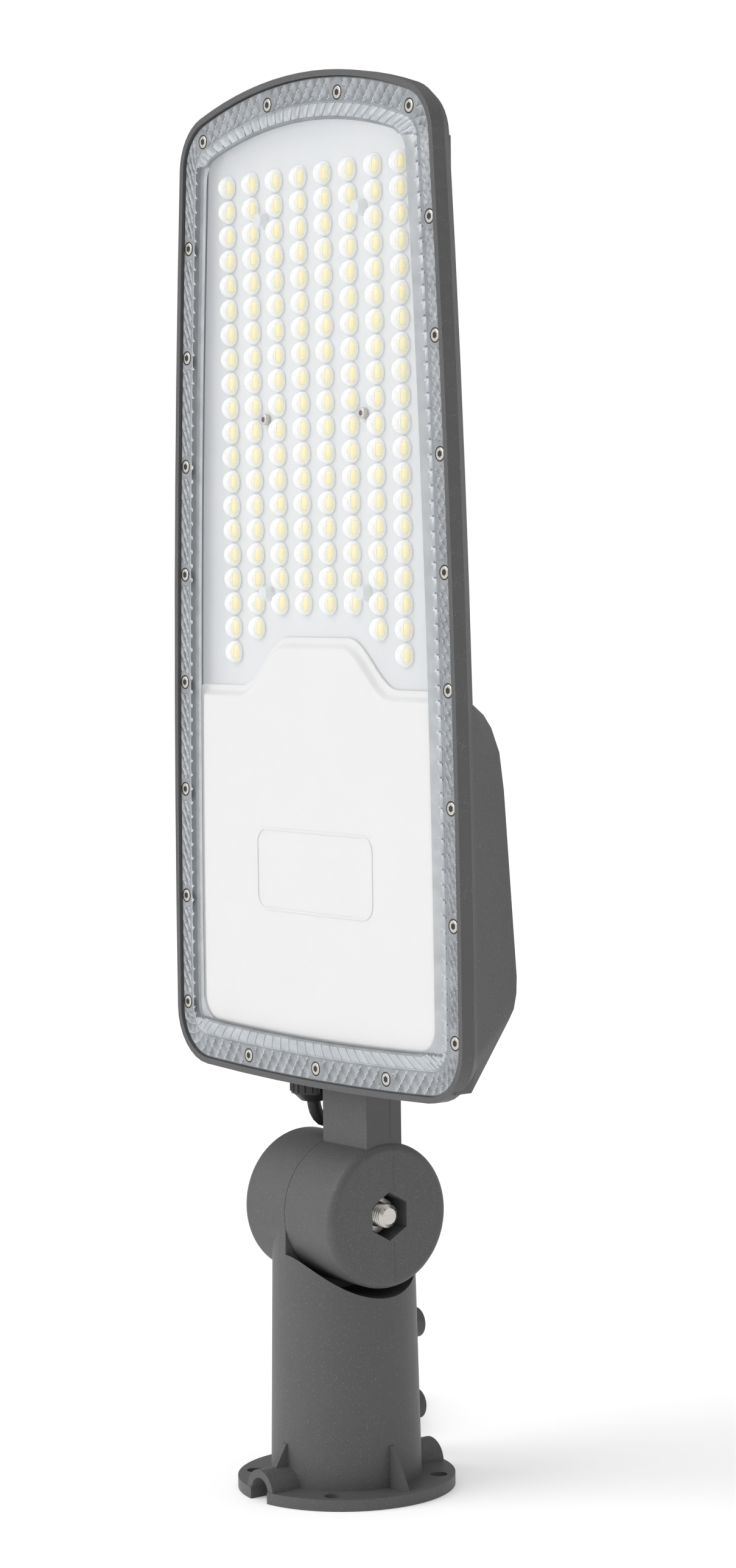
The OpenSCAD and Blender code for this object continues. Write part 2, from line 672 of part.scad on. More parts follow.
// ---- Supply cable: a swept tube along the route, then the folded hank
function tangent(p, i) = i == 0 ? [0, 0, -1] : unit(p[min(i + 1, len(p) - 1)] - p[i - 1]);
module swept_tube(p, d, sides) {
    rings = [for (i = [0:len(p) - 1]) let (t = tangent(p, i), s = unit(cross(t, [1, 0, 0])), n = cross(s, t))
             for (k = [0:sides - 1]) p[i] + d / 2 * (cos(360 * k / sides) * s + sin(360 * k / sides) * n)];
    last = len(p) - 1;
    faces = concat([[for (k = [0:sides - 1]) k]], [[for (k = [sides - 1:-1:0]) last * sides + k]],
        [for (i = [0:last - 1], k = [0:sides - 1])
            let (a = i * sides + k, b = i * sides + (k + 1) % sides) [a, a + sides, b + sides, b]]);
    polyhedron(rings, faces);
}
module cable() {
    color("black") swept_tube(route, cable_d, 10);
}
module oval(grow) {
    translate([0, -hank_fold_r - grow]) square([hank_run, 2 * (hank_fold_r + grow)]);
    for (x = [0, hank_run]) translate([x, 0]) circle(hank_fold_r + grow);
}
module in_hank() {
    translate([hank_start.x, hank_start.y, 0]) rotate([0, 0, hank_angle])
        translate([cable_d + hank_lead, hank_fold_r, 0]) children();
}
module cable_hank() {
    color("black") in_hank() difference() {
        union() {
            linear_extrude(2 * cable_d) difference() {
                oval(cable_d / 2);
                oval(-cable_d / 2);
            }
            translate([-cable_d - hank_lead, -hank_fold_r - cable_d / 2, 0])
                cube([cable_d + hank_lead, cable_d, cable_d]);
        }
        // the upper turn stops short of the near fold
        translate([-2 * hank_fold_r, -2 * hank_fold_r, cable_d])
            cube([2 * hank_fold_r + hank_end, 4 * hank_fold_r, cable_d + 1]);
    }
}
module cable_tie() {
    band = 1.2;
    color("dimgray") in_hank() translate([hank_run / 2, hank_fold_r, 0]) rotate([90, 0, 90])
        linear_extrude(8) difference() {
        translate([-cable_d / 2 - band, 0]) square([cable_d + 2 * band, 2 * cable_d + band]);
        translate([-cable_d / 2, -1]) square([cable_d, 2 * cable_d + 1]);
    }
}
module cable_cores() {
    core_r = 0.9;
    color("saddlebrown") in_hank() for (k = [-1:1])
        translate([hank_end - core_l, hank_fold_r + 2 * k, cable_d + core_r]) rotate([0, 90, 0])
            cylinder(r = core_r, h = core_l, $fn = 16);
}

lower_knuckle();
set_screw_lower();
set_screw_upper();
hinge_bolt();
hinge_washers();
hinge_nut();
upper_knuckle();
neck_gasket();
neck_bolts();
housing();
earth_screw();
thermal_pad();
led_board();
leds();
lens_array();
panel_screws();
panel_posts();
driver();
driver_screws();
surge_protector();
terminal_block();
led_leads();
driver_cover();
lens_gasket();
lens_cover();
rim_screws();
gland_locknut();
gland_body();
gland_seal();
gland_nut();
cable();
cable_hank();
cable_tie();
cable_cores();
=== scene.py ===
import math
import bmesh
import bpy
from mathutils import Matrix, Vector


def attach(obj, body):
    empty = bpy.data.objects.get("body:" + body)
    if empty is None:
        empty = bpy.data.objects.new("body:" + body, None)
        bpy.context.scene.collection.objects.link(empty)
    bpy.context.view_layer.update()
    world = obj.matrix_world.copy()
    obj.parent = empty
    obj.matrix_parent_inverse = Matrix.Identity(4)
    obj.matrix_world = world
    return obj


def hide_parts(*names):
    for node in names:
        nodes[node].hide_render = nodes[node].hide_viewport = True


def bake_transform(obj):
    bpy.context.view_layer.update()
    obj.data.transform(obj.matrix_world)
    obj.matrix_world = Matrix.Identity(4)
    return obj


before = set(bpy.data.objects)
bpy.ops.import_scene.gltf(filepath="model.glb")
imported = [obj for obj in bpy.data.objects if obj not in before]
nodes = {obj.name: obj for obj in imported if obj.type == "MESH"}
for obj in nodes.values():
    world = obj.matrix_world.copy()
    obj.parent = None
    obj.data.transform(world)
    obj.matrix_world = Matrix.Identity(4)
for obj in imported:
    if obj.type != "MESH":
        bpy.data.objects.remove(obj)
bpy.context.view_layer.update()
mm = 0.001

def linear(hexColour):
    # sRGB hex to the linear colour that the sockets take
    parts = [int(hexColour[i:i + 2], 16) / 255 for i in (1, 3, 5)]
    return [c / 12.92 if c <= 0.04045 else ((c + 0.055) / 1.055) ** 2.4 for c in parts] + [1.0]


def feed(owner, node, links):
    # each socket named in links is driven by the output that stands beside it
    for socket, source in links.items():
        owner.node_tree.links.new(source, node.inputs[socket])


def addNode(owner, kind, values=None, links=None, **settings):
    # one node of a material or world, with its settings, its fixed values and what drives it
    node = owner.node_tree.nodes.new(kind)
    for key, value in settings.items():
        setattr(node, key, value)
    for socket, value in (values or {}).items():
        node.inputs[socket].default_value = value
    feed(owner, node, links or {})
    return node


def span(fromLow, fromHigh, toLow, toHigh):
    # limits between which one value is spread over another
    return {"From Min": fromLow, "From Max": fromHigh, "To Min": toLow, "To Max": toHigh}


def startMaterial(name, colour, roughness, metallic=0.0, sockets=None):
    # a material, its shader with the values that don't vary, and the object's own coordinates
    material = bpy.data.materials.new(name)
    material.use_nodes = True
    shader = material.node_tree.nodes["Principled BSDF"]
    fixed = {"Base Color": linear(colour), "Roughness": roughness, "Metallic": metallic, **(sockets or {})}
    for socket, value in fixed.items():
        shader.inputs[socket].default_value = value
    place = addNode(material, "ShaderNodeTexCoord").outputs["Object"]
    return material, shader, place


coatLook = {"dark": "#505051", "light": "#565657", "cloud": 26 * mm, "fleck": "#A2A2A2", "fleckSize": 0.55 * mm,
            "fleckFrom": 0.82, "fleckStrength": 0.7, "fleckCore": 0.1, "fleckEdge": 0.42, "grain": 0.5 * mm,
            "relief": 0.05 * mm, "roughness": 0.5, "specular": 0.35}


def makePowderCoat():
    # Polyester powder coat over die-cast aluminium: fine orange peel, soft gloss and pale metallic flecks.
    # Real flecks are near 0.1 mm across, and these are drawn coarser so that they show.
    rough = coatLook["roughness"]
    material, shader, place = startMaterial("powderCoat", coatLook["dark"], rough,
                                            sockets={"Specular IOR Level": coatLook["specular"]})
    cloud = addNode(material, "ShaderNodeTexNoise", {"Scale": 1 / coatLook["cloud"], "Detail": 3.0},
                    {"Vector": place})
    base = addNode(material, "ShaderNodeMix", {"A": linear(coatLook["dark"]), "B": linear(coatLook["light"])},
                   {"Factor": cloud.outputs["Fac"]}, data_type="RGBA")
    flakes = addNode(material, "ShaderNodeTexVoronoi", {"Scale": 1 / coatLook["fleckSize"]}, {"Vector": place})
    pick = addNode(material, "ShaderNodeSeparateColor", links={"Color": flakes.outputs["Color"]})
    chosen = addNode(material, "ShaderNodeMapRange",
                     span(coatLook["fleckFrom"], 1.0, 0.0, coatLook["fleckStrength"]), {"Value": pick.outputs["Red"]})
    near = addNode(material, "ShaderNodeMapRange", span(coatLook["fleckCore"], coatLook["fleckEdge"], 1.0, 0.0),
                   {"Value": flakes.outputs["Distance"]})
    amount = addNode(material, "ShaderNodeMath", links={0: chosen.outputs["Result"], 1: near.outputs["Result"]},
                     operation="MULTIPLY")
    flecked = addNode(material, "ShaderNodeMix", {"B": linear(coatLook["fleck"])},
                      {"Factor": amount.outputs[0], "A": base.outputs["Result"]}, data_type="RGBA")
    fine = {"Scale": 1 / coatLook["grain"], "Detail": 3.0, "Roughness": 0.6}
    grain = addNode(material, "ShaderNodeTexNoise", fine, {"Vector": place}).outputs["Fac"]
    gloss = addNode(material, "ShaderNodeMapRange", span(0.2, 0.8, rough - 0.07, rough + 0.09), {"Value": grain})
    relief = addNode(material, "ShaderNodeBump", {"Strength": 0.6, "Distance": coatLook["relief"]},
                     {"Height": grain})
    feed(material, shader, {"Base Color": flecked.outputs["Result"], "Roughness": gloss.outputs["Result"],
                            "Normal": relief.outputs["Normal"]})
    return material


def makeMetal(name, colour, roughness, streak):
    # bare metal with fine tool marks, longer along one way, that spread the highlight
    material, shader, place = startMaterial(name, colour, roughness, 1.0)
    drawn = addNode(material, "ShaderNodeMapping", {"Scale": (1.0, 0.15, 1.0)}, {"Vector": place})
    marks = addNode(material, "ShaderNodeTexNoise", {"Scale": 1 / streak, "Detail": 3.0},
                    {"Vector": drawn.outputs["Vector"]}).outputs["Fac"]
    gloss = addNode(material, "ShaderNodeMapRange", span(0.3, 0.7, roughness - 0.08, roughness + 0.1),
                    {"Value": marks})
    relief = addNode(material, "ShaderNodeBump", {"Strength": 0.5, "Distance": 0.01 * mm}, {"Height": marks})
    feed(material, shader, {"Roughness": gloss.outputs["Result"], "Normal": relief.outputs["Normal"]})
    return material


def makePlastic(name, colour, shade, roughness, grainSize, depth, sockets=None):
    # moulded plastic or rubber: a faint grain off the tool and a slow drift from colour to shade
    material, shader, place = startMaterial(name, colour, roughness, sockets=sockets)
    drift = addNode(material, "ShaderNodeTexNoise", {"Scale": 1 / (40 * mm)}, {"Vector": place})
    tint = addNode(material, "ShaderNodeMix", {"A": linear(colour), "B": linear(shade)},
                   {"Factor": drift.outputs["Fac"]}, data_type="RGBA")
    grain = addNode(material, "ShaderNodeTexNoise", {"Scale": 1 / grainSize}, {"Vector": place}).outputs["Fac"]
    gloss = addNode(material, "ShaderNodeMapRange", span(0.3, 0.7, roughness - 0.05, roughness + 0.06),
                    {"Value": grain})
    relief = addNode(material, "ShaderNodeBump", {"Strength": 0.5, "Distance": depth}, {"Height": grain})
    feed(material, shader, {"Base Color": tint.outputs["Result"], "Roughness": gloss.outputs["Result"],
                            "Normal": relief.outputs["Normal"]})
    return material


def makeClearOptic():
    # Clear acrylic: a pale rim of painted reflection where the dome turns away, and gloss in front
    material, shader, place = startMaterial("clearAcrylicDome", "#FCFDFE", 0.07, sockets={"IOR": 1.49})
    turned = addNode(material, "ShaderNodeLayerWeight", {"Blend": 0.45}).outputs["Facing"]
    # painted reflection: the white acrylic turns more opaque towards the dome's edge, so its rim shows pale
    dense = addNode(material, "ShaderNodeMapRange", span(0.1, 0.7, 0.24, 0.85), {"Value": turned})
    haze = addNode(material, "ShaderNodeTexNoise", {"Scale": 1 / (2 * mm)}, {"Vector": place})
    gloss = addNode(material, "ShaderNodeMapRange", span(0.3, 0.7, 0.05, 0.1), {"Value": haze.outputs["Fac"]})
    feed(material, shader, {"Alpha": dense.outputs["Result"], "Roughness": gloss.outputs["Result"]})
    return material


def makePrismatic():
    # Clear polycarbonate with moulded prisms: each side of a prism throws the grey seat or the light back, and that is
    # painted into its colour as painted shade and painted highlight, face by face
    material, shader, place = startMaterial("prismaticPolycarbonate", "#8E9398", 0.16,
                                            sockets={"Transmission Weight": 0.15, "IOR": 1.58})
    facet = addNode(material, "ShaderNodeAttribute", attribute_name="facetShadeAndHighlight").outputs["Fac"]
    cloud = addNode(material, "ShaderNodeTexNoise", {"Scale": 1 / (9 * mm)}, {"Vector": place})
    drift = addNode(material, "ShaderNodeMapRange", span(0.3, 0.7, -0.1, 0.1), {"Value": cloud.outputs["Fac"]})
    paintedShading = addNode(material, "ShaderNodeMath", links={0: facet, 1: drift.outputs["Result"]}, operation="ADD",
                   use_clamp=True)
    # painted shade and painted highlight: the per-face tone runs from this dark grey to this pale grey
    shade = addNode(material, "ShaderNodeMix", {"A": linear("#47494B"), "B": linear("#C2C7CC")},
                    {"Factor": paintedShading.outputs[0]}, data_type="RGBA")
    grain = addNode(material, "ShaderNodeTexNoise", {"Scale": 1 / (1.5 * mm)}, {"Vector": place}).outputs["Fac"]
    gloss = addNode(material, "ShaderNodeMapRange", span(0.3, 0.7, 0.1, 0.2), {"Value": grain})
    relief = addNode(material, "ShaderNodeBump", {"Strength": 0.4, "Distance": 0.01 * mm}, {"Height": grain})
    feed(material, shader, {"Base Color": shade.outputs["Result"], "Roughness": gloss.outputs["Result"],
                            "Normal": relief.outputs["Normal"]})
    return material


powderCoat = makePowderCoat()
# A2 stainless steel, turned: warm grey with a soft bright highlight
stainless = makeMetal("turnedStainless", "#C4C0BA", 0.3, 0.6 * mm)
# steel at the bottom of a broached socket: a dull brown darker than the head, painted shade in the recess
paintedSocketShade = makeMetal("broachedSocket", "#8A6B48", 0.38, 0.4 * mm)
# plain brass of the earth screw: yellow and lightly worn
brass = makeMetal("plainBrass", "#C9A55C", 0.3, 0.5 * mm)
# drawn aluminium of the driver's case and the board's back: pale satin grey
aluminiumCase = makeMetal("drawnAluminium", "#B9BBBD", 0.42, 0.8 * mm)
# moulded white polycarbonate over the driver bay: satin, close to paper white
coverWhite = makePlastic("mouldedWhiteCover", "#D6D5D5", "#D2D1D1", 0.46, 0.9 * mm, 0.03 * mm)
# moulded plate between the domes: cooler and glossier than the bay cover
boardWhite = makePlastic("whiteOpticPlate", "#D0D1D3", "#CACCCE", 0.34, 2.0 * mm, 0.02 * mm)
# black nylon of the gland and the tie: nearly black with a slight sheen
blackNylon = makePlastic("blackNylon", "#1B1B1D", "#232325", 0.42, 0.5 * mm, 0.03 * mm)
# rubber cable sheath: matt black with a drawn skin
cableSheath = makePlastic("blackRubberSheath", "#161617", "#1E1E1F", 0.58, 0.7 * mm, 0.05 * mm)
# silicone cord of the gaskets: dull mid grey
gasketSilicone = makePlastic("greySilicone", "#8C8F93", "#85888C", 0.5, 0.8 * mm, 0.03 * mm)
# filled silicone pad: dusty blue and quite matt
padSilicone = makePlastic("bluePadSilicone", "#8FA3B2", "#889CAC", 0.7, 1.0 * mm, 0.05 * mm)
# phosphor over the diodes: pale yellow and matt, as it looks unlit
phosphor = makePlastic("yellowPhosphor", "#F8EDA2", "#F3E490", 0.5, 0.3 * mm, 0.03 * mm)
# natural nylon posts: milky, half see-through
frostedNylon = makePlastic("frostedNylon", "#E9EBED", "#E2E5E8", 0.4, 0.5 * mm, 0.03 * mm, {"Alpha": 0.5})
# epoxy-filled case of the surge protector: strong blue with some gloss
blueCase = makePlastic("blueMouldedCase", "#24459A", "#213F8E", 0.35, 0.8 * mm, 0.03 * mm)
# polyamide terminal block: ivory and satin
ivoryBlock = makePlastic("ivoryBlock", "#DDD5C2", "#D6CDB8", 0.5, 0.6 * mm, 0.03 * mm)
# silicone lead to the board: dark red
redLead = makePlastic("redSiliconeLead", "#A3241C", "#941F18", 0.5, 0.4 * mm, 0.03 * mm)
# vinyl insulation of the three cores: smooth, in the mains colours
brownCore = makePlastic("brownCore", "#6B3D22", "#7A4627", 0.42, 0.4 * mm, 0.02 * mm)
blueCore = makePlastic("blueCore", "#2A4E9E", "#274890", 0.42, 0.4 * mm, 0.02 * mm)
greenCore = makePlastic("greenCore", "#4C8A35", "#457F30", 0.42, 0.4 * mm, 0.02 * mm)
yellowCore = makePlastic("yellowCore", "#D9C338", "#CDB733", 0.42, 0.4 * mm, 0.02 * mm)
clearOptic = makeClearOptic()
prismatic = makePrismatic()
# polycarbonate window: nearly invisible, with sharp reflections
clearWindow = makePlastic("clearPolycarbonateWindow", "#F5F8FB", "#EFF3F7", 0.08, 3.0 * mm, 0.0,
                          {"Alpha": 0.07, "IOR": 1.58})
print("materials made")

cameraPlace = {"azimuth": 53.07, "pitch": 3.54, "roll": -0.78, "distance": 1839.7 * mm, "across": 15.76 * mm,
               "height": 361.22 * mm, "focal": 82.89, "sensor": 36, "near": 0.05, "far": 60}


def makeCamera():
    az = math.radians(cameraPlace["azimuth"])
    tilt = math.radians(cameraPlace["pitch"])
    roll = math.radians(cameraPlace["roll"])
    back = Vector((math.sin(az) * math.cos(tilt), -math.cos(az) * math.cos(tilt), math.sin(tilt)))
    level = Vector((math.cos(az), math.sin(az), 0))
    lift = back.cross(level)
    right = level * math.cos(roll) + lift * math.sin(roll)
    up = lift * math.cos(roll) - level * math.sin(roll)
    data = bpy.data.cameras.new("camera")
    data.lens = cameraPlace["focal"]
    data.sensor_width = cameraPlace["sensor"]
    data.clip_start, data.clip_end = cameraPlace["near"], cameraPlace["far"]
    camera = bpy.data.objects.new("camera", data)
    bpy.context.scene.collection.objects.link(camera)
    turn = Matrix((right, up, back)).transposed().to_4x4()
    spot = back * cameraPlace["distance"] + level * cameraPlace["across"] + Vector((0, 0, cameraPlace["height"]))
    camera.matrix_world = Matrix.Translation(spot) @ turn
    bpy.context.scene.camera = camera


makeCamera()
print("camera placed")


def pieceFrom(bm, name, materials, body, sharp=35):
    # a finished mesh as an object at the origin, smooth up to the sharp angle, that moves with a body
    mesh = bpy.data.meshes.new(name)
    bm.to_mesh(mesh)
    bm.free()
    piece = bpy.data.objects.new(name, mesh)
    bpy.context.scene.collection.objects.link(piece)
    for material in materials:
        mesh.materials.append(material)
    mesh.shade_smooth()
    mesh.set_sharp_from_angle(angle=math.radians(sharp))
    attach(piece, body)
    return piece


def refined(nodeName, name, material, body, width, segments=2, sharp=28, extra=None):
    # a merged copy of the CAD solid with its hard edges eased and its normals weighted by area
    bm = bmesh.new()
    bm.from_mesh(nodes[nodeName].data)
    bmesh.ops.remove_doubles(bm, verts=bm.verts, dist=0.01 * mm)
    bmesh.ops.dissolve_limit(bm, angle_limit=math.radians(0.4), verts=bm.verts, edges=bm.edges)
    weights = bm.edges.layers.float.new("bevel_weight_edge")
    for edge in bm.edges:
        if len(edge.link_faces) == 2 and edge.calc_face_angle(0) > math.radians(sharp):
            edge[weights] = extra(edge) if extra else 1.0
    piece = pieceFrom(bm, name, [material], body, sharp=sharp + 12)
    ease = piece.modifiers.new("easedEdges", "BEVEL")
    ease.width = width
    ease.segments = segments
    ease.limit_method = "WEIGHT"
    ease.use_clamp_overlap = True
    level = piece.modifiers.new("areaNormals", "WEIGHTED_NORMAL")
    level.keep_sharp = True
    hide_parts(nodeName)
    return piece


def dress(nodeName, material):
    # a CAD solid that keeps its own mesh
    mesh = nodes[nodeName].data
    mesh.materials.clear()
    mesh.materials.append(material)


# supply cable, in millimetres, from the gland over the knuckle to a hank behind the flange
cable = {"diameter": 7 * mm,
         "route": [(-17.5, -5, 198), (-17.5, -3.6, 192), (-17.5, 0, 187.6), (-17.5, 6, 186), (-17.5, 14, 184.8),
                   (-17.5, 22, 181), (-17.6, 31, 174), (-17.8, 38, 165), (-18, 42, 155), (-18.5, 43.5, 144),
                   (-20, 44.5, 125), (-22, 45.5, 105), (-24, 46.5, 85), (-26.5, 48.5, 65), (-29.5, 51.5, 46),
                   (-33, 55.5, 29), (-38, 60, 14), (-42, 64, 5.5), (-48, 68.5, 3.5), (-56, 74.5, 3.5)],
         "bendLow": (-17.5, 43.5, 144), "bendHigh": (-17.5, -5, 198), "hankStart": (-56, 74.5), "hankAngle": 143,
         "fold": 21, "run": 66, "lead": 19, "end": 8, "low": 3.5, "climb": 7, "foldSteps": 12,
         "coreDiameter": 1.8 * mm,
         "coreRoute": ((3, 1.3, 10.5), (0, 1.4, 10.4), (-4, 1.8, 9.2), (-8, 2.2, 8.1), (-12, 2.1, 8.0))}


def hankPoint(x, y, z):
    # x runs along the hank from its first fold, y across it
    turn = math.radians(cable["hankAngle"])
    x, y = x + cable["lead"], y + cable["fold"]
    return (cable["hankStart"][0] + x * math.cos(turn) - y * math.sin(turn),
            cable["hankStart"][1] + x * math.sin(turn) + y * math.cos(turn), z)


def hankPoints():
    fold, run, low = cable["fold"], cable["run"], cable["low"]
    high = low + cable["climb"]
    points = [hankPoint(0, -fold, low), hankPoint(run / 2, -fold, low)]

    def bend(centre, start, z0, z1):
        for step in range(cable["foldSteps"] + 1):
            share = step / cable["foldSteps"]
            a = math.radians(start + 180 * share)
            points.append(hankPoint(centre + fold * math.cos(a), fold * math.sin(a), z0 + (z1 - z0) * share))

    bend(run, -90, low, low)
    points.append(hankPoint(run / 2, fold, low))
    bend(0, 90, low, high)
    points.append(hankPoint(run / 2, -fold, high))
    bend(run, -90, high, high)
    points.append(hankPoint(run / 2, fold, high))
    points.append(hankPoint(cable["end"], fold, high))
    return points


def smoothLine(points, step):
    # a Catmull-Rom line through the points, cut at even short steps
    places = [Vector(p) * mm for p in points]
    places = [2 * places[0] - places[1]] + places + [2 * places[-1] - places[-2]]
    line = []
    for a, b, c, d in zip(places, places[1:], places[2:], places[3:]):
        cuts = max(1, round((c - b).length / step))
        for k in range(cuts):
            t = k / cuts
            line.append(0.5 * (2 * b + (c - a) * t + (2 * a - 5 * b + 4 * c - d) * t * t
                               + (3 * b - a - 3 * c + d) * t ** 3))
    line.append(places[-2])
    return line


def tubeAlong(line, diameter, name, material, sides):
    # a round tube with closed ends; sides is a quarter of its edges, less one
    data = bpy.data.curves.new(name, "CURVE")
    data.dimensions = "3D"
    spline = data.splines.new("POLY")
    spline.points.add(len(line) - 1)
    for point, place in zip(spline.points, line):
        point.co = (*place, 1)
    data.bevel_depth = diameter / 2
    data.bevel_resolution = sides
    data.use_fill_caps = True
    holder = bpy.data.objects.new(name + "Line", data)
    bpy.context.scene.collection.objects.link(holder)
    mesh = bpy.data.meshes.new_from_object(holder)
    bpy.data.objects.remove(holder)
    mesh.name = name
    piece = bpy.data.objects.new(name, mesh)
    bpy.context.scene.collection.objects.link(piece)
    mesh.materials.clear()
    mesh.materials.append(material)
    mesh.shade_smooth()
    mesh.set_sharp_from_angle(angle=math.radians(50))
    return piece


def makeCable():
    line = smoothLine(cable["route"] + hankPoints(), 2.5 * mm)
    sheath = tubeAlong(line, cable["diameter"], "supplyCable", cableSheath, 5)
    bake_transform(sheath)
    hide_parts("cable", "cable_hank")
    cores = []
    for k, colour in zip((-1, 0, 1), (brownCore, blueCore, greenCore)):
        points = [hankPoint(cable["end"] + x, cable["fold"] + apart * k, z) for x, apart, z in cable["coreRoute"]]
        core = tubeAlong(smoothLine(points, 0.8 * mm), cable["coreDiameter"], f"strippedCore{k + 2}", colour, 3)
        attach(core, "base")
        cores.append(core)
    # the earth core has a yellow stripe along its upper side
    cores[2].data.materials.append(yellowCore)
    for face in cores[2].data.polygons:
        face.material_index = 1 if face.normal.z > 0.4 else 0
    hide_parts("cable_cores")
    tie = refined("cable_tie", "cableTie", blackNylon, "base", 0.25 * mm)


makeCable()
print("cable made")

# outline of the head, in millimetres, which every part that follows the rim repeats
head = {"middle": 18.0, "halfWidth": 121.0, "low": 210.7, "top": 716.0, "sideArc": 6200.0, "topArc": 283.0,
        "bottomArc": 1900.0, "corner": 28.0, "sideZ": 250.0, "flangeY": -29.2, "windowY": -31.2,
        "screwSpare": 112, "screwLow": 33.3, "screwRows": 8, "screwInSide": 7.5, "screwInTop": 11.0, "screwInLow": 9.3,
        "topTurns": (-18.6, -6.2, 6.2, 18.6), "lowPlaces": (-58.4, 0.0, 58.4)}


def outlinePieces(sideIn=0.0, endIn=0.0, least=3.0):
    # the right half of the rim, drawn in at the sides and ends, as arcs: centre, radius, first and last angle;
    # least is the smallest corner radius
    ra, rb, rc = head["sideArc"] - sideIn, head["topArc"] - endIn, head["bottomArc"] - endIn
    r = max(head["corner"] - (sideIn + endIn) / 2, least)
    a = Vector((head["halfWidth"] - head["sideArc"], head["sideZ"]))
    b = Vector((0, head["top"] - head["topArc"]))
    c = Vector((0, head["low"] + head["bottomArc"]))

    def meet(p, rp, q, rq, side):
        # where two circles cross, on the given side of the line between their centres
        d = (q - p).length
        t = (rp * rp - rq * rq + d * d) / (2 * d)
        h = math.sqrt(rp * rp - t * t)
        u = (q - p) / d
        return p + t * u + side * h * Vector((-u.y, u.x))

    def heading(p, q):
        return math.atan2(q.y - p.y, q.x - p.x)

    top = meet(a, ra - r, b, rb - r, 1)
    low = meet(a, ra - r, c, rc - r, -1)
    return [(c, rc, -math.pi / 2, heading(c, low)), (low, r, heading(c, low), heading(a, low)),
            (a, ra, heading(a, low), heading(a, top)), (top, r, heading(a, top), heading(b, top)),
            (b, rb, heading(b, top), math.pi / 2)]


def rimStations(count, sideIn=0.0, endIn=0.0, least=3.0):
    # places round the drawn-in rim, spaced evenly along the full rim, each with its outward direction
    lengths = [radius * abs(last - first) for _, radius, first, last in outlinePieces()]
    arcs = outlinePieces(sideIn, endIn, least)
    half = sum(lengths)
    stations = []
    for k in range(count):
        want = 2 * half * k / count
        mirror = -1 if want > half else 1
        want = 2 * half - want if want > half else want
        at = 0
        while at < 4 and want > lengths[at]:
            want -= lengths[at]
            at += 1
        centre, radius, first, last = arcs[at]
        angle = first + (last - first) * min(1.0, want / lengths[at])
        out = Vector((math.cos(angle), math.sin(angle)))
        point = centre + out * radius
        stations.append((Vector((point.x * mirror, point.y)), Vector((out.x * mirror, out.y))))
    return stations, 2 * half


def rimScrewPlaces():
    pitch = (head["top"] - head["low"] - head["screwSpare"]) / (head["screwRows"] - 1)
    places = []
    for k in range(head["screwRows"]):
        z = head["low"] + head["screwLow"] + pitch * k
        side = head["halfWidth"] - head["sideArc"] + math.sqrt(head["sideArc"] ** 2 - (z - head["sideZ"]) ** 2)
        x = side - head["screwInSide"]
        places += [Vector((x, z)), Vector((-x, z))]
    reach = head["topArc"] - head["screwInTop"]
    for turn in head["topTurns"]:
        angle = math.radians(turn)
        z = head["top"] - head["topArc"] + reach * math.cos(angle)
        places.append(Vector((reach * math.sin(angle), z)))
    for x in head["lowPlaces"]:
        places.append(Vector((x, head["low"] + head["screwInLow"] + x ** 2 / 2 / head["bottomArc"])))
    return places


# lens cover with its prismatic flange, fluted band and clear window; the tones, painted shade and painted highlight
# over a plain mid grey, run from 0, dark, to 1, light
coverLook = {"stations": 1500, "diamondPitch": 7.4, "diamondDepth": 0.6, "fluteDepth": 0.55, "bossRadius": 6.2,
             "corner": 13.0, "diamondRings": 12, "fluteRings": 6, "plainTone": 0.45, "prismPaintedShade": 0.14,
             "prismSpan": 0.46, "halfTone": 0.14, "paintedEdgeHighlight": 0.85, "edge": 0.1, "fluteTone": 0.72,
             "fluteSpan": 0.25, "paintedFluteShade": 0.3, "paintedLineTones": (0.35, 0.95)}


def coverRings():
    # inset at the sides, inset at the ends, place along y, pattern, and how far across the pattern the ring lies
    flange, window = head["flangeY"], head["windowY"]
    rings = [(22.6, 23.6, window, "", 0), (22.0, 23.0, window + 0.05, "", 0)]
    steps = coverLook["fluteRings"]
    for k in range(steps + 1):
        share = k / steps
        rings.append((21.4 - 8.2 * share, 22.4 - 6.2 * share, window + 0.2 + 1.4 * share, "flute", share))
    rings += [(12.9, 15.9, flange + 0.1, "line", 0), (12.4, 15.4, flange - 0.4, "line", 0),
              (11.9, 14.9, flange - 0.4, "line", 0), (11.7, 14.7, flange, "line", 0)]
    steps = coverLook["diamondRings"]
    for k in range(steps + 1):
        share = k / steps
        rings.append((11.5 - 7.3 * share, 14.5 - 10.3 * share, flange, "diamond", share))
    rings += [(3.9, 3.9, flange, "", 0), (3.3, 3.3, flange + 0.35, "", 0), (3.3, 3.3, flange + 3.0, "", 0),
              (15.5, 18.5, flange + 3.0, "", 0), (15.5, 18.5, flange + 1.3, "", 0),
              (23.0, 24.0, window + 1.9, "", 0)]
    return rings


def prismPhase(phase, share, out):
    # how far across its prism a point lies; the prisms lean more along the sides
    return (phase + (1 + 0.9 * (1 - abs(out.y))) * share) % 1.0


def prismPaintedShade(pattern, line, phase, share, out):
    # painted shade and painted highlight on the sides of each prism, seen through to the seat below, with painted
    # shade in the flute gaps and painted light and dark step lines
    look = coverLook
    if pattern == "diamond":
        cross = prismPhase(phase, share, out)
        half = look["halfTone"] if (phase - share) % 1.0 < 0.5 else 0
        return look["paintedEdgeHighlight"] if cross < look["edge"] else look["prismPaintedShade"] + look["prismSpan"] * cross + half
    if pattern == "flute":
        cross = (phase + 1.2 * (1 - abs(out.y)) * share) % 1.0
        return look["paintedFluteShade"] if cross < look["edge"] else look["fluteTone"] + look["fluteSpan"] * cross
    if pattern == "line":
        return look["paintedLineTones"][line % 2]
    return look["plainTone"]


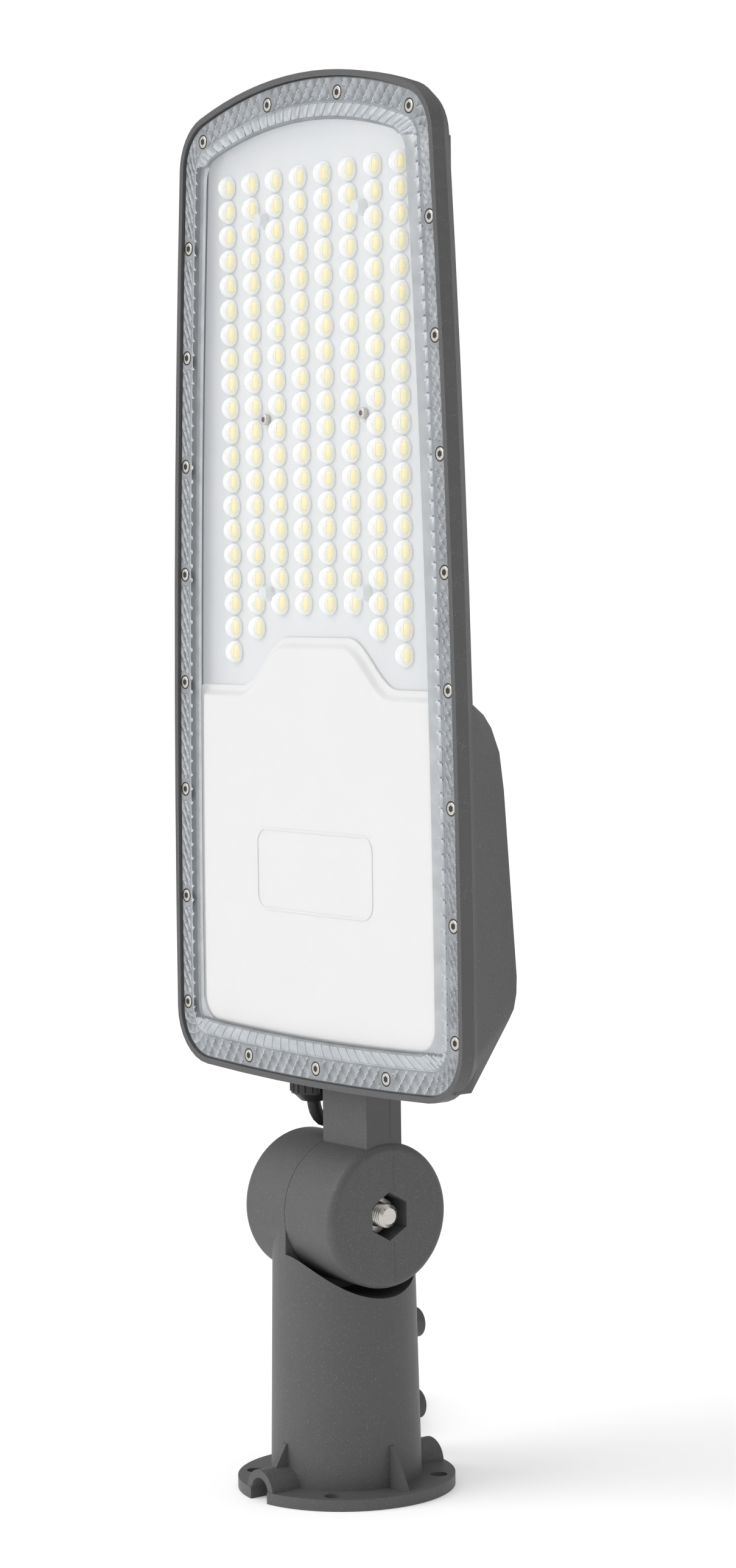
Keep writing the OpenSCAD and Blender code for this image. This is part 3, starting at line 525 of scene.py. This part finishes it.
def makeLensCover():
    count = coverLook["stations"]
    stations, around = rimStations(count)
    rings = coverRings()
    loops = [rimStations(count, ring[0], ring[1], coverLook["corner"] if ring[0] > 13 else 3)[0] for ring in rings]
    screws = rimScrewPlaces()
    pitches = round(around / coverLook["diamondPitch"])

    def clearOfScrews(spot):
        return min((spot - screw).length for screw in screws) > coverLook["bossRadius"]

    # a grid, one way round the rim and one way across it, whose points are then set on the rings
    bm = bmesh.new()
    bmesh.ops.create_grid(bm, x_segments=count, y_segments=len(rings) - 1, size=0.5)
    # each face gets a tone of painted shade or painted highlight, which the prismatic material reads
    paintedShading = bm.faces.layers.float.new("facetShadeAndHighlight")
    for face in bm.faces:
        middle = face.calc_center_median()
        line, station = int((middle.y + 0.5) * (len(rings) - 1)), int((middle.x + 0.5) * count)
        phase = (middle.x + 0.5) * pitches % 1.0
        pattern, share = rings[line][3:]
        if pattern == "diamond" and not clearOfScrews(loops[line][station][0]):
            pattern = ""
        face[paintedShading] = prismPaintedShade(pattern, line, phase, share, stations[station][1])
    for vert in bm.verts:
        station = round((vert.co.x + 0.5) * count)
        line = round((vert.co.y + 0.5) * (len(rings) - 1))
        phase = (vert.co.x + 0.5) * pitches % 1.0
        y, pattern, share = rings[line][2:]
        spot, out = loops[line][station % count]
        if pattern == "flute":
            fade = min(1.0, 4 * share, 4 * (1 - share) + 0.3)
            y -= coverLook["fluteDepth"] * abs(math.sin(math.pi * phase)) * fade
        if pattern == "diamond" and clearOfScrews(spot):
            fade = min(1.0, 6 * share, 6 * (1 - share))
            y += coverLook["diamondDepth"] * prismPhase(phase, share, out) * fade
        vert.co = Vector((head["middle"] + spot.x, y, spot.y)) * mm
    bmesh.ops.remove_doubles(bm, verts=bm.verts, dist=0.001 * mm)
    bmesh.ops.holes_fill(bm, edges=[edge for edge in bm.edges if edge.is_boundary], sides=0)
    bmesh.ops.recalc_face_normals(bm, faces=bm.faces)
    for face in bm.faces:
        # the slope is clear along the long sides, next to the window
        middle = face.calc_center_median() / mm
        side = abs(middle.x - head["middle"]) / head["halfWidth"]
        beside = side > 0.62 and head["low"] + 26 < middle.z < head["top"] - 38
        sloping = middle.y < head["flangeY"] - 0.9 and beside
        face.material_index = 1 if len(face.verts) > 8 or sloping else 0
    cover = pieceFrom(bm, "lensCover", [prismatic, clearWindow], "head", sharp=14)
    cover.visible_shadow = False
    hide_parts("lens_cover")


makeLensCover()
print("lens cover made")

# socket-head screws round the rim, in millimetres, and the dark discs of painted shadow for the bores that they stand
# in
screwLook = {"segments": 24, "radius": 3.3, "height": 1.6, "socket": 1.5, "socketDepth": 1.2, "edge": 0.55,
             "boreShadowRadius": 3.7, "boreShadowSegments": 28, "boreShadowDepth": 0.3}


def socketHead(radius, height, socket, depth, edge):
    # a pan head with a hexagon socket, its face towards -z, ready to be turned
    bm = bmesh.new()
    bmesh.ops.create_cone(bm, cap_ends=True, cap_tris=False, segments=screwLook["segments"], radius1=radius,
                          radius2=radius, depth=height)
    topEdges = [e for e in bm.edges if all(v.co.z > 0 for v in e.verts)]
    bmesh.ops.bevel(bm, geom=topEdges, offset=edge, offset_type="OFFSET", segments=3, profile=0.5, affect="EDGES",
                    material=-1)
    bm.faces.ensure_lookup_table()
    face = max(bm.faces, key=lambda f: (f.calc_center_median().z, f.calc_area()))
    bmesh.ops.inset_region(bm, faces=[face], thickness=radius - edge - socket - 0.25)
    for vert in face.verts:
        angle = math.atan2(vert.co.y, vert.co.x)
        inSector = (angle + math.pi / 6) % (math.pi / 3) - math.pi / 6
        reach = socket / math.cos(inSector)
        vert.co.x, vert.co.y = reach * math.cos(angle), reach * math.sin(angle)
    low = bmesh.ops.extrude_face_region(bm, geom=[face])
    bmesh.ops.delete(bm, geom=[face], context="FACES_ONLY")
    verts = [v for v in low["geom"] if isinstance(v, bmesh.types.BMVert)]
    bmesh.ops.translate(bm, verts=verts, vec=(0, 0, -depth))
    # the walls and floor of the socket take the second material, painted shade in the recess
    for face in bm.faces:
        central = all(v.co.to_2d().length < socket * 1.2 for v in face.verts)
        below = min(v.co.z for v in face.verts) < height / 2 - 0.1
        face.material_index = 1 if central and below and face.calc_center_median().z > -height / 2 + 0.05 else 0
    bmesh.ops.rotate(bm, verts=bm.verts, cent=(0, 0, 0), matrix=Matrix.Rotation(math.radians(90), 3, "X"))
    bmesh.ops.recalc_face_normals(bm, faces=bm.faces)
    mesh = bpy.data.meshes.new("headTemplate")
    bm.to_mesh(mesh)
    bm.free()
    return mesh


def placeCopies(template, places):
    # the template, in millimetres, at each of the places, in metres
    bm = bmesh.new()
    for place in places:
        before = len(bm.verts)
        bm.from_mesh(template)
        bm.verts.ensure_lookup_table()
        fresh = bm.verts[before:]
        bmesh.ops.translate(bm, verts=fresh, vec=place)
    bmesh.ops.scale(bm, verts=bm.verts, vec=(mm, mm, mm))
    return bm


def makeRimScrews():
    heads = socketHead(screwLook["radius"], screwLook["height"], screwLook["socket"], screwLook["socketDepth"],
                       screwLook["edge"])
    y = head["flangeY"] - 0.2 + screwLook["height"] / 2
    places = [Vector((head["middle"] + p.x, y, p.y)) for p in rimScrewPlaces()]
    piece = pieceFrom(placeCopies(heads, places), "rimScrewHeads", [stainless, paintedSocketShade], "head")
    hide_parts("rim_screws")
    # a dark disc of painted shadow round each head, where the shaded gap of a bore would show through the cover
    bm = bmesh.new()
    bmesh.ops.create_circle(bm, cap_ends=True, segments=screwLook["boreShadowSegments"], radius=screwLook["boreShadowRadius"],
                            matrix=Matrix.Rotation(math.radians(90), 4, "X"))
    raised = bmesh.ops.extrude_face_region(bm, geom=bm.faces[:])
    verts = [v for v in raised["geom"] if isinstance(v, bmesh.types.BMVert)]
    bmesh.ops.translate(bm, verts=verts, vec=(0, screwLook["boreShadowDepth"], 0))
    bmesh.ops.recalc_face_normals(bm, faces=bm.faces)
    template = bpy.data.meshes.new("boreShadowTemplate")
    bm.to_mesh(template)
    bm.free()
    places = [Vector((head["middle"] + p.x, head["flangeY"] - 0.1, p.y)) for p in rimScrewPlaces()]
    # the discs take the black sheath material as painted shadow
    boreShadows = pieceFrom(placeCopies(template, places), "screwBoreShadows", [cableSheath], "head")


makeRimScrews()
print("rim screws made")

# light panel, in millimetres: places and shapes of the domes and the diodes under them
panel = {"columns": 8, "pitchX": 20.6, "pitchZ": 12.5, "top": 666.3, "rows": 18, "plateY": -23.3, "plateT": 0.6,
         "plateLow": 401.7, "plateIn": 15.5, "plateEndIn": 3.0, "plateEdge": 0.4, "domeRadius": 5.9,
         "domeHeight": 5.4, "domeSink": 0.35, "coreSize": (3.7, 1.3, 4.5), "coreSink": 0.17, "crease": 0.55,
         "creaseWidth": 1.1, "grooveX": -0.9, "grooveHalf": 0.3, "grooveDepth": 0.3}


def ledPlaces():
    # full rows, then two short rows beside the hump of the bay cover
    columns = [(c - (panel["columns"] - 1) / 2) * panel["pitchX"] for c in range(panel["columns"])]
    rows = [columns] * panel["rows"] + [columns[:2] + columns[-2:], [columns[0], columns[-1]]]
    return [(x, panel["top"] - row * panel["pitchZ"]) for row, places in enumerate(rows) for x in places]


def halfBall(across, around, radius):
    # the front half of a ball, its pole towards -y
    bm = bmesh.new()
    bmesh.ops.create_uvsphere(bm, u_segments=across, v_segments=around, radius=radius)
    bmesh.ops.rotate(bm, verts=bm.verts, cent=(0, 0, 0), matrix=Matrix.Rotation(math.radians(90), 3, "X"))
    bmesh.ops.bisect_plane(bm, geom=bm.verts[:] + bm.edges[:] + bm.faces[:], plane_co=(0, 0, 0),
                           plane_no=(0, 1, 0), clear_outer=True, dist=0.0001)
    return bm


def closedTemplate(bm, name):
    # the back is closed and the shape kept as a mesh to copy
    bmesh.ops.holes_fill(bm, edges=[e for e in bm.edges if e.is_boundary], sides=0)
    bmesh.ops.recalc_face_normals(bm, faces=bm.faces)
    template = bpy.data.meshes.new(name)
    bm.to_mesh(template)
    bm.free()
    return template


def makeDomes():
    bm = halfBall(16, 8, panel["domeRadius"])
    for vert in bm.verts:
        height = vert.co.y / -panel["domeRadius"]
        vert.co.y *= panel["domeHeight"] / panel["domeRadius"]
        if vert.co.y < -0.5:
            vert.co.y += panel["crease"] * math.exp(-(vert.co.x / panel["creaseWidth"]) ** 2) * height
    template = closedTemplate(bm, "domeTemplate")
    places = [Vector((head["middle"] + x, panel["plateY"] - panel["domeSink"], z)) for x, z in ledPlaces()]
    domes = pieceFrom(placeCopies(template, places), "lensDomes", [clearOptic], "head", sharp=50)


def makeEmitters():
    # the yellow field of each diode, with a white groove down it
    bm = halfBall(12, 6, 1)
    bmesh.ops.scale(bm, verts=bm.verts, vec=panel["coreSize"])
    for aside in (-1, 0, 1):
        cut = (panel["grooveX"] + aside * panel["grooveHalf"], 0, 0)
        bmesh.ops.bisect_plane(bm, geom=bm.verts[:] + bm.edges[:] + bm.faces[:], plane_co=cut, plane_no=(1, 0, 0),
                               dist=0.0001)
    for vert in bm.verts:
        if abs(vert.co.x - panel["grooveX"]) < 0.05 and vert.co.y < -0.4:
            vert.co.y += panel["grooveDepth"]
    for face in bm.faces:
        inGroove = abs(face.calc_center_median().x - panel["grooveX"]) < panel["grooveHalf"]
        face.material_index = 1 if inGroove else 0
    template = closedTemplate(bm, "emitterTemplate")
    places = [Vector((head["middle"] + x, panel["plateY"] - panel["coreSink"], z)) for x, z in ledPlaces()]
    emitters = pieceFrom(placeCopies(template, places), "emitters", [phosphor, boardWhite], "head")
    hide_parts("leds")


def makeOpticPlate():
    # the plate under the domes: the outline drawn in, cut at the panel's lower edge
    stations, _ = rimStations(240)
    bm = bmesh.new()
    disc = bmesh.ops.create_circle(bm, cap_ends=True, segments=len(stations), radius=1)
    for vert, (point, out) in zip(disc["verts"], stations):
        spot = point - out * (panel["plateIn"] + panel["plateEndIn"] * out.y ** 2)
        vert.co = Vector((head["middle"] + spot.x, panel["plateY"] + panel["plateT"], spot.y)) * mm
    bmesh.ops.bisect_plane(bm, geom=bm.verts[:] + bm.edges[:] + bm.faces[:],
                           plane_co=(0, 0, panel["plateLow"] * mm), plane_no=(0, 0, -1), clear_outer=True)
    raised = bmesh.ops.extrude_face_region(bm, geom=bm.faces[:])
    verts = [v for v in raised["geom"] if isinstance(v, bmesh.types.BMVert)]
    bmesh.ops.translate(bm, verts=verts, vec=(0, -panel["plateT"] * mm, 0))
    bmesh.ops.recalc_face_normals(bm, faces=bm.faces)
    front = [e for e in bm.edges if all(v.co.y < (panel["plateY"] + 0.1) * mm for v in e.verts)]
    bmesh.ops.bevel(bm, geom=front, offset=panel["plateEdge"] * mm, offset_type="OFFSET", segments=2, profile=0.5,
                    affect="EDGES", material=-1)
    plate = pieceFrom(bm, "opticPlate", [boardWhite], "head")
    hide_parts("lens_array")


makeDomes()
makeEmitters()
makeOpticPlate()

# screws and posts that hold the panel, between the second and third columns from each side
fixings = {"column": 2, "screwRow": 9.55, "postRows": (16.6, 1.55), "screwOut": 1.9, "screwRadius": 2.8,
           "screwHeight": 2.2, "screwSocket": 1.3, "socketDepth": 1.2, "screwEdge": 0.4, "postRoot": 4.2,
           "postTip": 3.6, "postHeight": 5.4, "postEdge": 0.6}


def fixingPlaces(rows, out):
    x = fixings["column"] * panel["pitchX"]
    return [Vector((head["middle"] + side * x, panel["plateY"] - out, panel["top"] - row * panel["pitchZ"]))
            for side in (-1, 1) for row in rows]


def makePanelFixings():
    heads = socketHead(fixings["screwRadius"], fixings["screwHeight"], fixings["screwSocket"],
                       fixings["socketDepth"], fixings["screwEdge"])
    places = fixingPlaces([fixings["screwRow"]], fixings["screwOut"])
    piece = pieceFrom(placeCopies(heads, places), "panelScrews", [stainless, paintedSocketShade], "head")
    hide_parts("panel_screws")
    bm = bmesh.new()
    bmesh.ops.create_cone(bm, cap_ends=True, segments=24, radius1=fixings["postRoot"], radius2=fixings["postTip"],
                          depth=fixings["postHeight"])
    ends = [e for e in bm.edges if all(v.co.z > 0 for v in e.verts)]
    bmesh.ops.bevel(bm, geom=ends, offset=fixings["postEdge"], offset_type="OFFSET", segments=3, profile=0.5,
                    affect="EDGES", material=-1)
    bmesh.ops.rotate(bm, verts=bm.verts, cent=(0, 0, 0), matrix=Matrix.Rotation(math.radians(90), 3, "X"))
    template = bpy.data.meshes.new("postTemplate")
    bm.to_mesh(template)
    bm.free()
    places = fixingPlaces(fixings["postRows"], fixings["postHeight"] / 2)
    posts = pieceFrom(placeCopies(template, places), "panelPosts", [frostedNylon], "head")
    posts.visible_shadow = False
    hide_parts("panel_posts")


makePanelFixings()
print("light panel made")

# white cover over the driver bay, in millimetres, with its hump and raised field
bayCover = {"shoulder": 411.7, "humpHalf": 46.0, "humpHeight": 25.0, "humpSoft": 20.0, "sideIn": 12.5,
            "endIn": 13.5, "corner": 12.0, "base": -23.6, "plateau": -28.6, "around": 220, "across": 120,
            "badgeZ": 318.7, "badgeW": 98.0, "badgeH": 42.0, "badgeR": 8.0, "badgeRise": 0.45, "badgeLine": 1.0}


def coverOutline(inset, drop):
    # the rim of the bay drawn in by inset, closed at the top by the hump drawn down by drop
    limit = bayCover["shoulder"] - drop
    stations, _ = rimStations(1400, inset + bayCover["sideIn"], inset + bayCover["endIn"], bayCover["corner"])
    dense = [point for point, _ in stations if point.y < limit]
    lengths = [0.0]
    turn = next(k for k in range(1, len(dense)) if (dense[k] - dense[k - 1]).length > 40)
    dense = dense[turn:] + dense[:turn]
    for p, q in zip(dense, dense[1:]):
        lengths.append(lengths[-1] + (q - p).length)
    points, at = [], 0
    for k in range(bayCover["around"]):
        want = lengths[-1] * k / (bayCover["around"] - 1)
        while at < len(dense) - 2 and lengths[at + 1] < want:
            at += 1
        share = min(1.0, (want - lengths[at]) / (lengths[at + 1] - lengths[at]))
        points.append(dense[at].lerp(dense[at + 1], share))
    first, last = points[-1].x, points[0].x
    half, soft = bayCover["humpHalf"] - drop / 3, bayCover["humpSoft"]
    for k in range(1, bayCover["across"]):
        u = first + (last - first) * k / bayCover["across"]
        share = min(1.0, max(0.0, (half + soft - abs(u)) / (2 * soft)))
        points.append(Vector((u, limit + bayCover["humpHeight"] * (1 - math.cos(math.pi * share)) / 2)))
    return points


def makeDriverCover():
    base, front = bayCover["base"], bayCover["plateau"]
    rings = [(4.0, 0.0, base), (4.0, 0.0, base - 0.9), (4.3, 0.3, base - 1.2), (6.4, 2.1, base - 1.2)]
    for k in range(9):
        share = k / 8
        rise = (1 - math.cos(math.pi * share)) / 2
        rings.append((6.8 + 5.2 * share, 2.4 + 3.6 * share, base - 1.25 + (front - base + 1.25) * rise))
    rings.append((14.0, 7.5, front))
    outlines = [coverOutline(inset, drop) for inset, drop, _ in rings]
    count = len(outlines[0])
    bm = bmesh.new()
    bmesh.ops.create_grid(bm, x_segments=count, y_segments=len(rings) - 1, size=0.5)
    for vert in bm.verts:
        station = round((vert.co.x + 0.5) * count) % count
        ring = round((vert.co.y + 0.5) * (len(rings) - 1))
        spot = outlines[ring][station]
        vert.co = Vector((head["middle"] + spot.x, rings[ring][2], spot.y)) * mm
    bmesh.ops.remove_doubles(bm, verts=bm.verts, dist=0.001 * mm)
    bmesh.ops.holes_fill(bm, edges=[e for e in bm.edges if e.is_boundary], sides=0)
    # the raised frame in the middle of the field
    for within in (0.0, bayCover["badgeLine"]):
        made = bmesh.ops.create_grid(bm, x_segments=1, y_segments=1, size=0.5)
        width, height = bayCover["badgeW"] - 2 * within, bayCover["badgeH"] - 2 * within
        size = Matrix.Diagonal((width * mm, height * mm, 1, 1))
        spot = Matrix.Translation(Vector((head["middle"], front, bayCover["badgeZ"])) * mm)
        upright = spot @ Matrix.Rotation(math.radians(90), 4, "X")
        bmesh.ops.transform(bm, matrix=upright @ size, verts=made["verts"])
        bmesh.ops.bevel(bm, geom=made["verts"], offset=(bayCover["badgeR"] - within) * mm, offset_type="OFFSET",
                        segments=8, profile=0.5, affect="VERTICES", material=-1)
    frames = sorted((f for f in bm.faces if 28 < len(f.verts) < 60), key=lambda f: -f.calc_area())[:2]
    ring = [e for f in frames for e in f.edges]
    bmesh.ops.delete(bm, geom=frames, context="FACES_ONLY")
    band = bmesh.ops.bridge_loops(bm, edges=ring)
    raised = bmesh.ops.extrude_face_region(bm, geom=band["faces"])
    verts = [v for v in raised["geom"] if isinstance(v, bmesh.types.BMVert)]
    bmesh.ops.translate(bm, verts=verts, vec=(0, -bayCover["badgeRise"] * mm, 0))
    bmesh.ops.recalc_face_normals(bm, faces=bm.faces)
    cover = pieceFrom(bm, "driverCover", [coverWhite], "head", sharp=55)
    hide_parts("driver_cover")


makeDriverCover()
print("driver cover made")


def housingEdge(edge):
    # wide rounding on the back of the driver bulge, a fine one elsewhere
    atBack = all(v.co.y > -14 * mm for v in edge.verts)
    atSide = all(abs(v.co.x / mm - head["middle"]) > 100 for v in edge.verts)
    return 1.0 if atBack and atSide else 0.16


refined("housing", "castHousing", powderCoat, "head", 5 * mm, 3, 28, housingEdge)
refined("lower_knuckle", "lowerCasting", powderCoat, "base", 0.8 * mm, 3, 30)
refined("upper_knuckle", "upperCasting", powderCoat, "head", 1.6 * mm, 3, 30)
hingeNut = refined("hinge_nut", "hingeNut", stainless, "base", 0.4 * mm)
for vert in hingeNut.data.vertices:
    # a thin nut, which leaves six turns of the thread in sight
    if vert.co.x > 30 * mm:
        vert.co.x -= 5 * mm
refined("gland_nut", "glandNut", blackNylon, "head", 0.35 * mm, 2)
refined("gland_body", "glandBody", blackNylon, "head", 0.3 * mm, 2)
refined("set_screw_lower", "lowerSetScrew", stainless, "lower_set_screw", 0.3 * mm)
refined("set_screw_upper", "upperSetScrew", stainless, "upper_set_screw", 0.3 * mm)
# the inner solids and the small ones keep the CAD mesh
for name, material in (("hinge_washers", stainless), ("neck_gasket", gasketSilicone), ("neck_bolts", stainless),
                       ("earth_screw", brass), ("thermal_pad", padSilicone), ("led_board", aluminiumCase),
                       ("driver", aluminiumCase), ("driver_screws", stainless), ("surge_protector", blueCase),
                       ("terminal_block", ivoryBlock), ("led_leads", redLead), ("lens_gasket", gasketSilicone),
                       ("gland_locknut", blackNylon), ("gland_seal", cableSheath)):
    dress(name, material)

# mould parting line down the neck and the knuckle's face, in millimetres; a run is its ends and the face's x
partingLine = {"y": 3.0, "width": 0.7, "crest": 0.2, "rise": 0.15, "root": 0.3,
               "runs": ((183.0, 209.5, 37.0), (157.5, 178.5, 39.5), (110.5, 131.5, 39.5))}


def makePartingLine():
    # the low ridge that the two halves of the mould leave, on the faces that look along +x
    bm = bmesh.new()
    for low, high, face in partingLine["runs"]:
        made = bmesh.ops.create_cube(bm, size=1)
        for vert in made["verts"]:
            outer = vert.co.x > 0
            width = partingLine["crest" if outer else "width"]
            vert.co = Vector((face + (partingLine["rise"] if outer else -partingLine["root"]),
                              partingLine["y"] + vert.co.y * width, low + (high - low) * (vert.co.z + 0.5))) * mm
    bmesh.ops.recalc_face_normals(bm, faces=bm.faces)
    ridge = pieceFrom(bm, "knucklePartingLine", [powderCoat], "head")


makePartingLine()

# hinge bolt with its thread, in millimetres
boltLook = {"radius": 6.0, "root": 4.75, "pitch": 1.75, "threads": 12, "end": 39.3, "z": 144.4, "headX": -36.7,
            "headT": 7.2, "flats": 18.0, "chamfer": 0.6, "steps": 32}


def makeHingeBolt():
    bm = bmesh.new()
    radius, root, pitch = boltLook["radius"], boltLook["root"], boltLook["pitch"]
    x = boltLook["end"]
    profile = [(x, 0), (x, root - boltLook["chamfer"]), (x - boltLook["chamfer"], root)]
    x -= boltLook["chamfer"]
    for _ in range(boltLook["threads"]):
        profile += [(x - pitch * 0.45, radius), (x - pitch * 0.55, radius), (x - pitch, root)]
        x -= pitch
    profile += [(x - 0.9, radius), (boltLook["headX"] + 1, radius), (boltLook["headX"] + 1, 0)]
    verts = [bm.verts.new((px, r, 0)) for px, r in profile]
    edges = [bm.edges.new(pair) for pair in zip(verts, verts[1:])]
    bmesh.ops.spin(bm, geom=verts + edges, cent=(0, 0, 0), axis=(1, 0, 0), angle=2 * math.pi,
                   steps=boltLook["steps"], use_merge=True, use_duplicate=False)
    bmesh.ops.remove_doubles(bm, verts=bm.verts, dist=0.001)
    corner = boltLook["flats"] / math.sqrt(3)
    hexHead = bmesh.ops.create_cone(bm, cap_ends=True, segments=6, radius1=corner, radius2=corner,
                                    depth=boltLook["headT"])
    middle = Matrix.Translation((boltLook["headX"] + boltLook["headT"] / 2, 0, 0))
    spot = middle @ Matrix.Rotation(math.radians(90), 4, "Y")
    bmesh.ops.transform(bm, matrix=spot, verts=hexHead["verts"])
    bmesh.ops.recalc_face_normals(bm, faces=bm.faces)
    bmesh.ops.translate(bm, verts=bm.verts, vec=(0, 0, boltLook["z"]))
    bmesh.ops.scale(bm, verts=bm.verts, vec=(mm, mm, mm))
    bolt = pieceFrom(bm, "hingeBolt", [stainless], "base", sharp=40)
    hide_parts("hinge_bolt")


makeHingeBolt()
print("castings and bolts made")

# floor and light; each lamp is a broad sun: power, spread, azimuth and lift, in degrees
studio = {"floorReach": 30.0, "floorGlow": 0.2, "floorColour": "#F8F8F8", "horizon": 1.0, "zenith": 0.12,
          "bandLow": 0.17, "bandHigh": 0.34, "lampDistance": 3,
          "lamps": (("keyLight", 1.5, 50, -24, 32), ("topLight", 1.7, 110, 20, 84))}


def makeStudio():
    bm = bmesh.new()
    bmesh.ops.create_grid(bm, x_segments=8, y_segments=8, size=studio["floorReach"])
    mesh = bpy.data.meshes.new("studioFloor")
    bm.to_mesh(mesh)
    bm.free()
    floor = bpy.data.objects.new("studioFloor", mesh)
    bpy.context.scene.collection.objects.link(floor)
    # painted board: matt and nearly white, with a little light of its own to soften the shadow
    glow = {"Specular IOR Level": 0.1, "Emission Color": (1, 1, 1, 1), "Emission Strength": studio["floorGlow"]}
    mesh.materials.append(startMaterial("paleFloor", studio["floorColour"], 0.8, sockets=glow)[0])
    # a white surround that dims overhead, so that the front keeps its modelling
    world = bpy.data.worlds.new("studioWorld")
    world.use_nodes = True
    background = world.node_tree.nodes["Background"]
    background.inputs["Color"].default_value = (1, 1, 1, 1)
    direction = addNode(world, "ShaderNodeTexCoord").outputs["Generated"]
    height = addNode(world, "ShaderNodeSeparateXYZ", links={"Vector": direction}).outputs["Z"]
    limits = span(studio["bandLow"], studio["bandHigh"], studio["horizon"], studio["zenith"])
    band = addNode(world, "ShaderNodeMapRange", limits, {"Value": height})
    feed(world, background, {"Strength": band.outputs["Result"]})
    bpy.context.scene.world = world
    for name, power, spread, azimuth, lift in studio["lamps"]:
        data = bpy.data.lights.new(name, "SUN")
        data.energy, data.angle = power, math.radians(spread)
        lamp = bpy.data.objects.new(name, data)
        bpy.context.scene.collection.objects.link(lamp)
        az, up = math.radians(azimuth), math.radians(lift)
        toward = Vector((math.sin(az) * math.cos(up), -math.cos(az) * math.cos(up), math.sin(up)))
        lamp.location = toward * studio["lampDistance"]
        lamp.rotation_mode = "QUATERNION"
        lamp.rotation_quaternion = toward.to_track_quat("Z", "Y")


makeStudio()
bpy.context.scene.view_settings.view_transform = "Standard"
print("studio made")
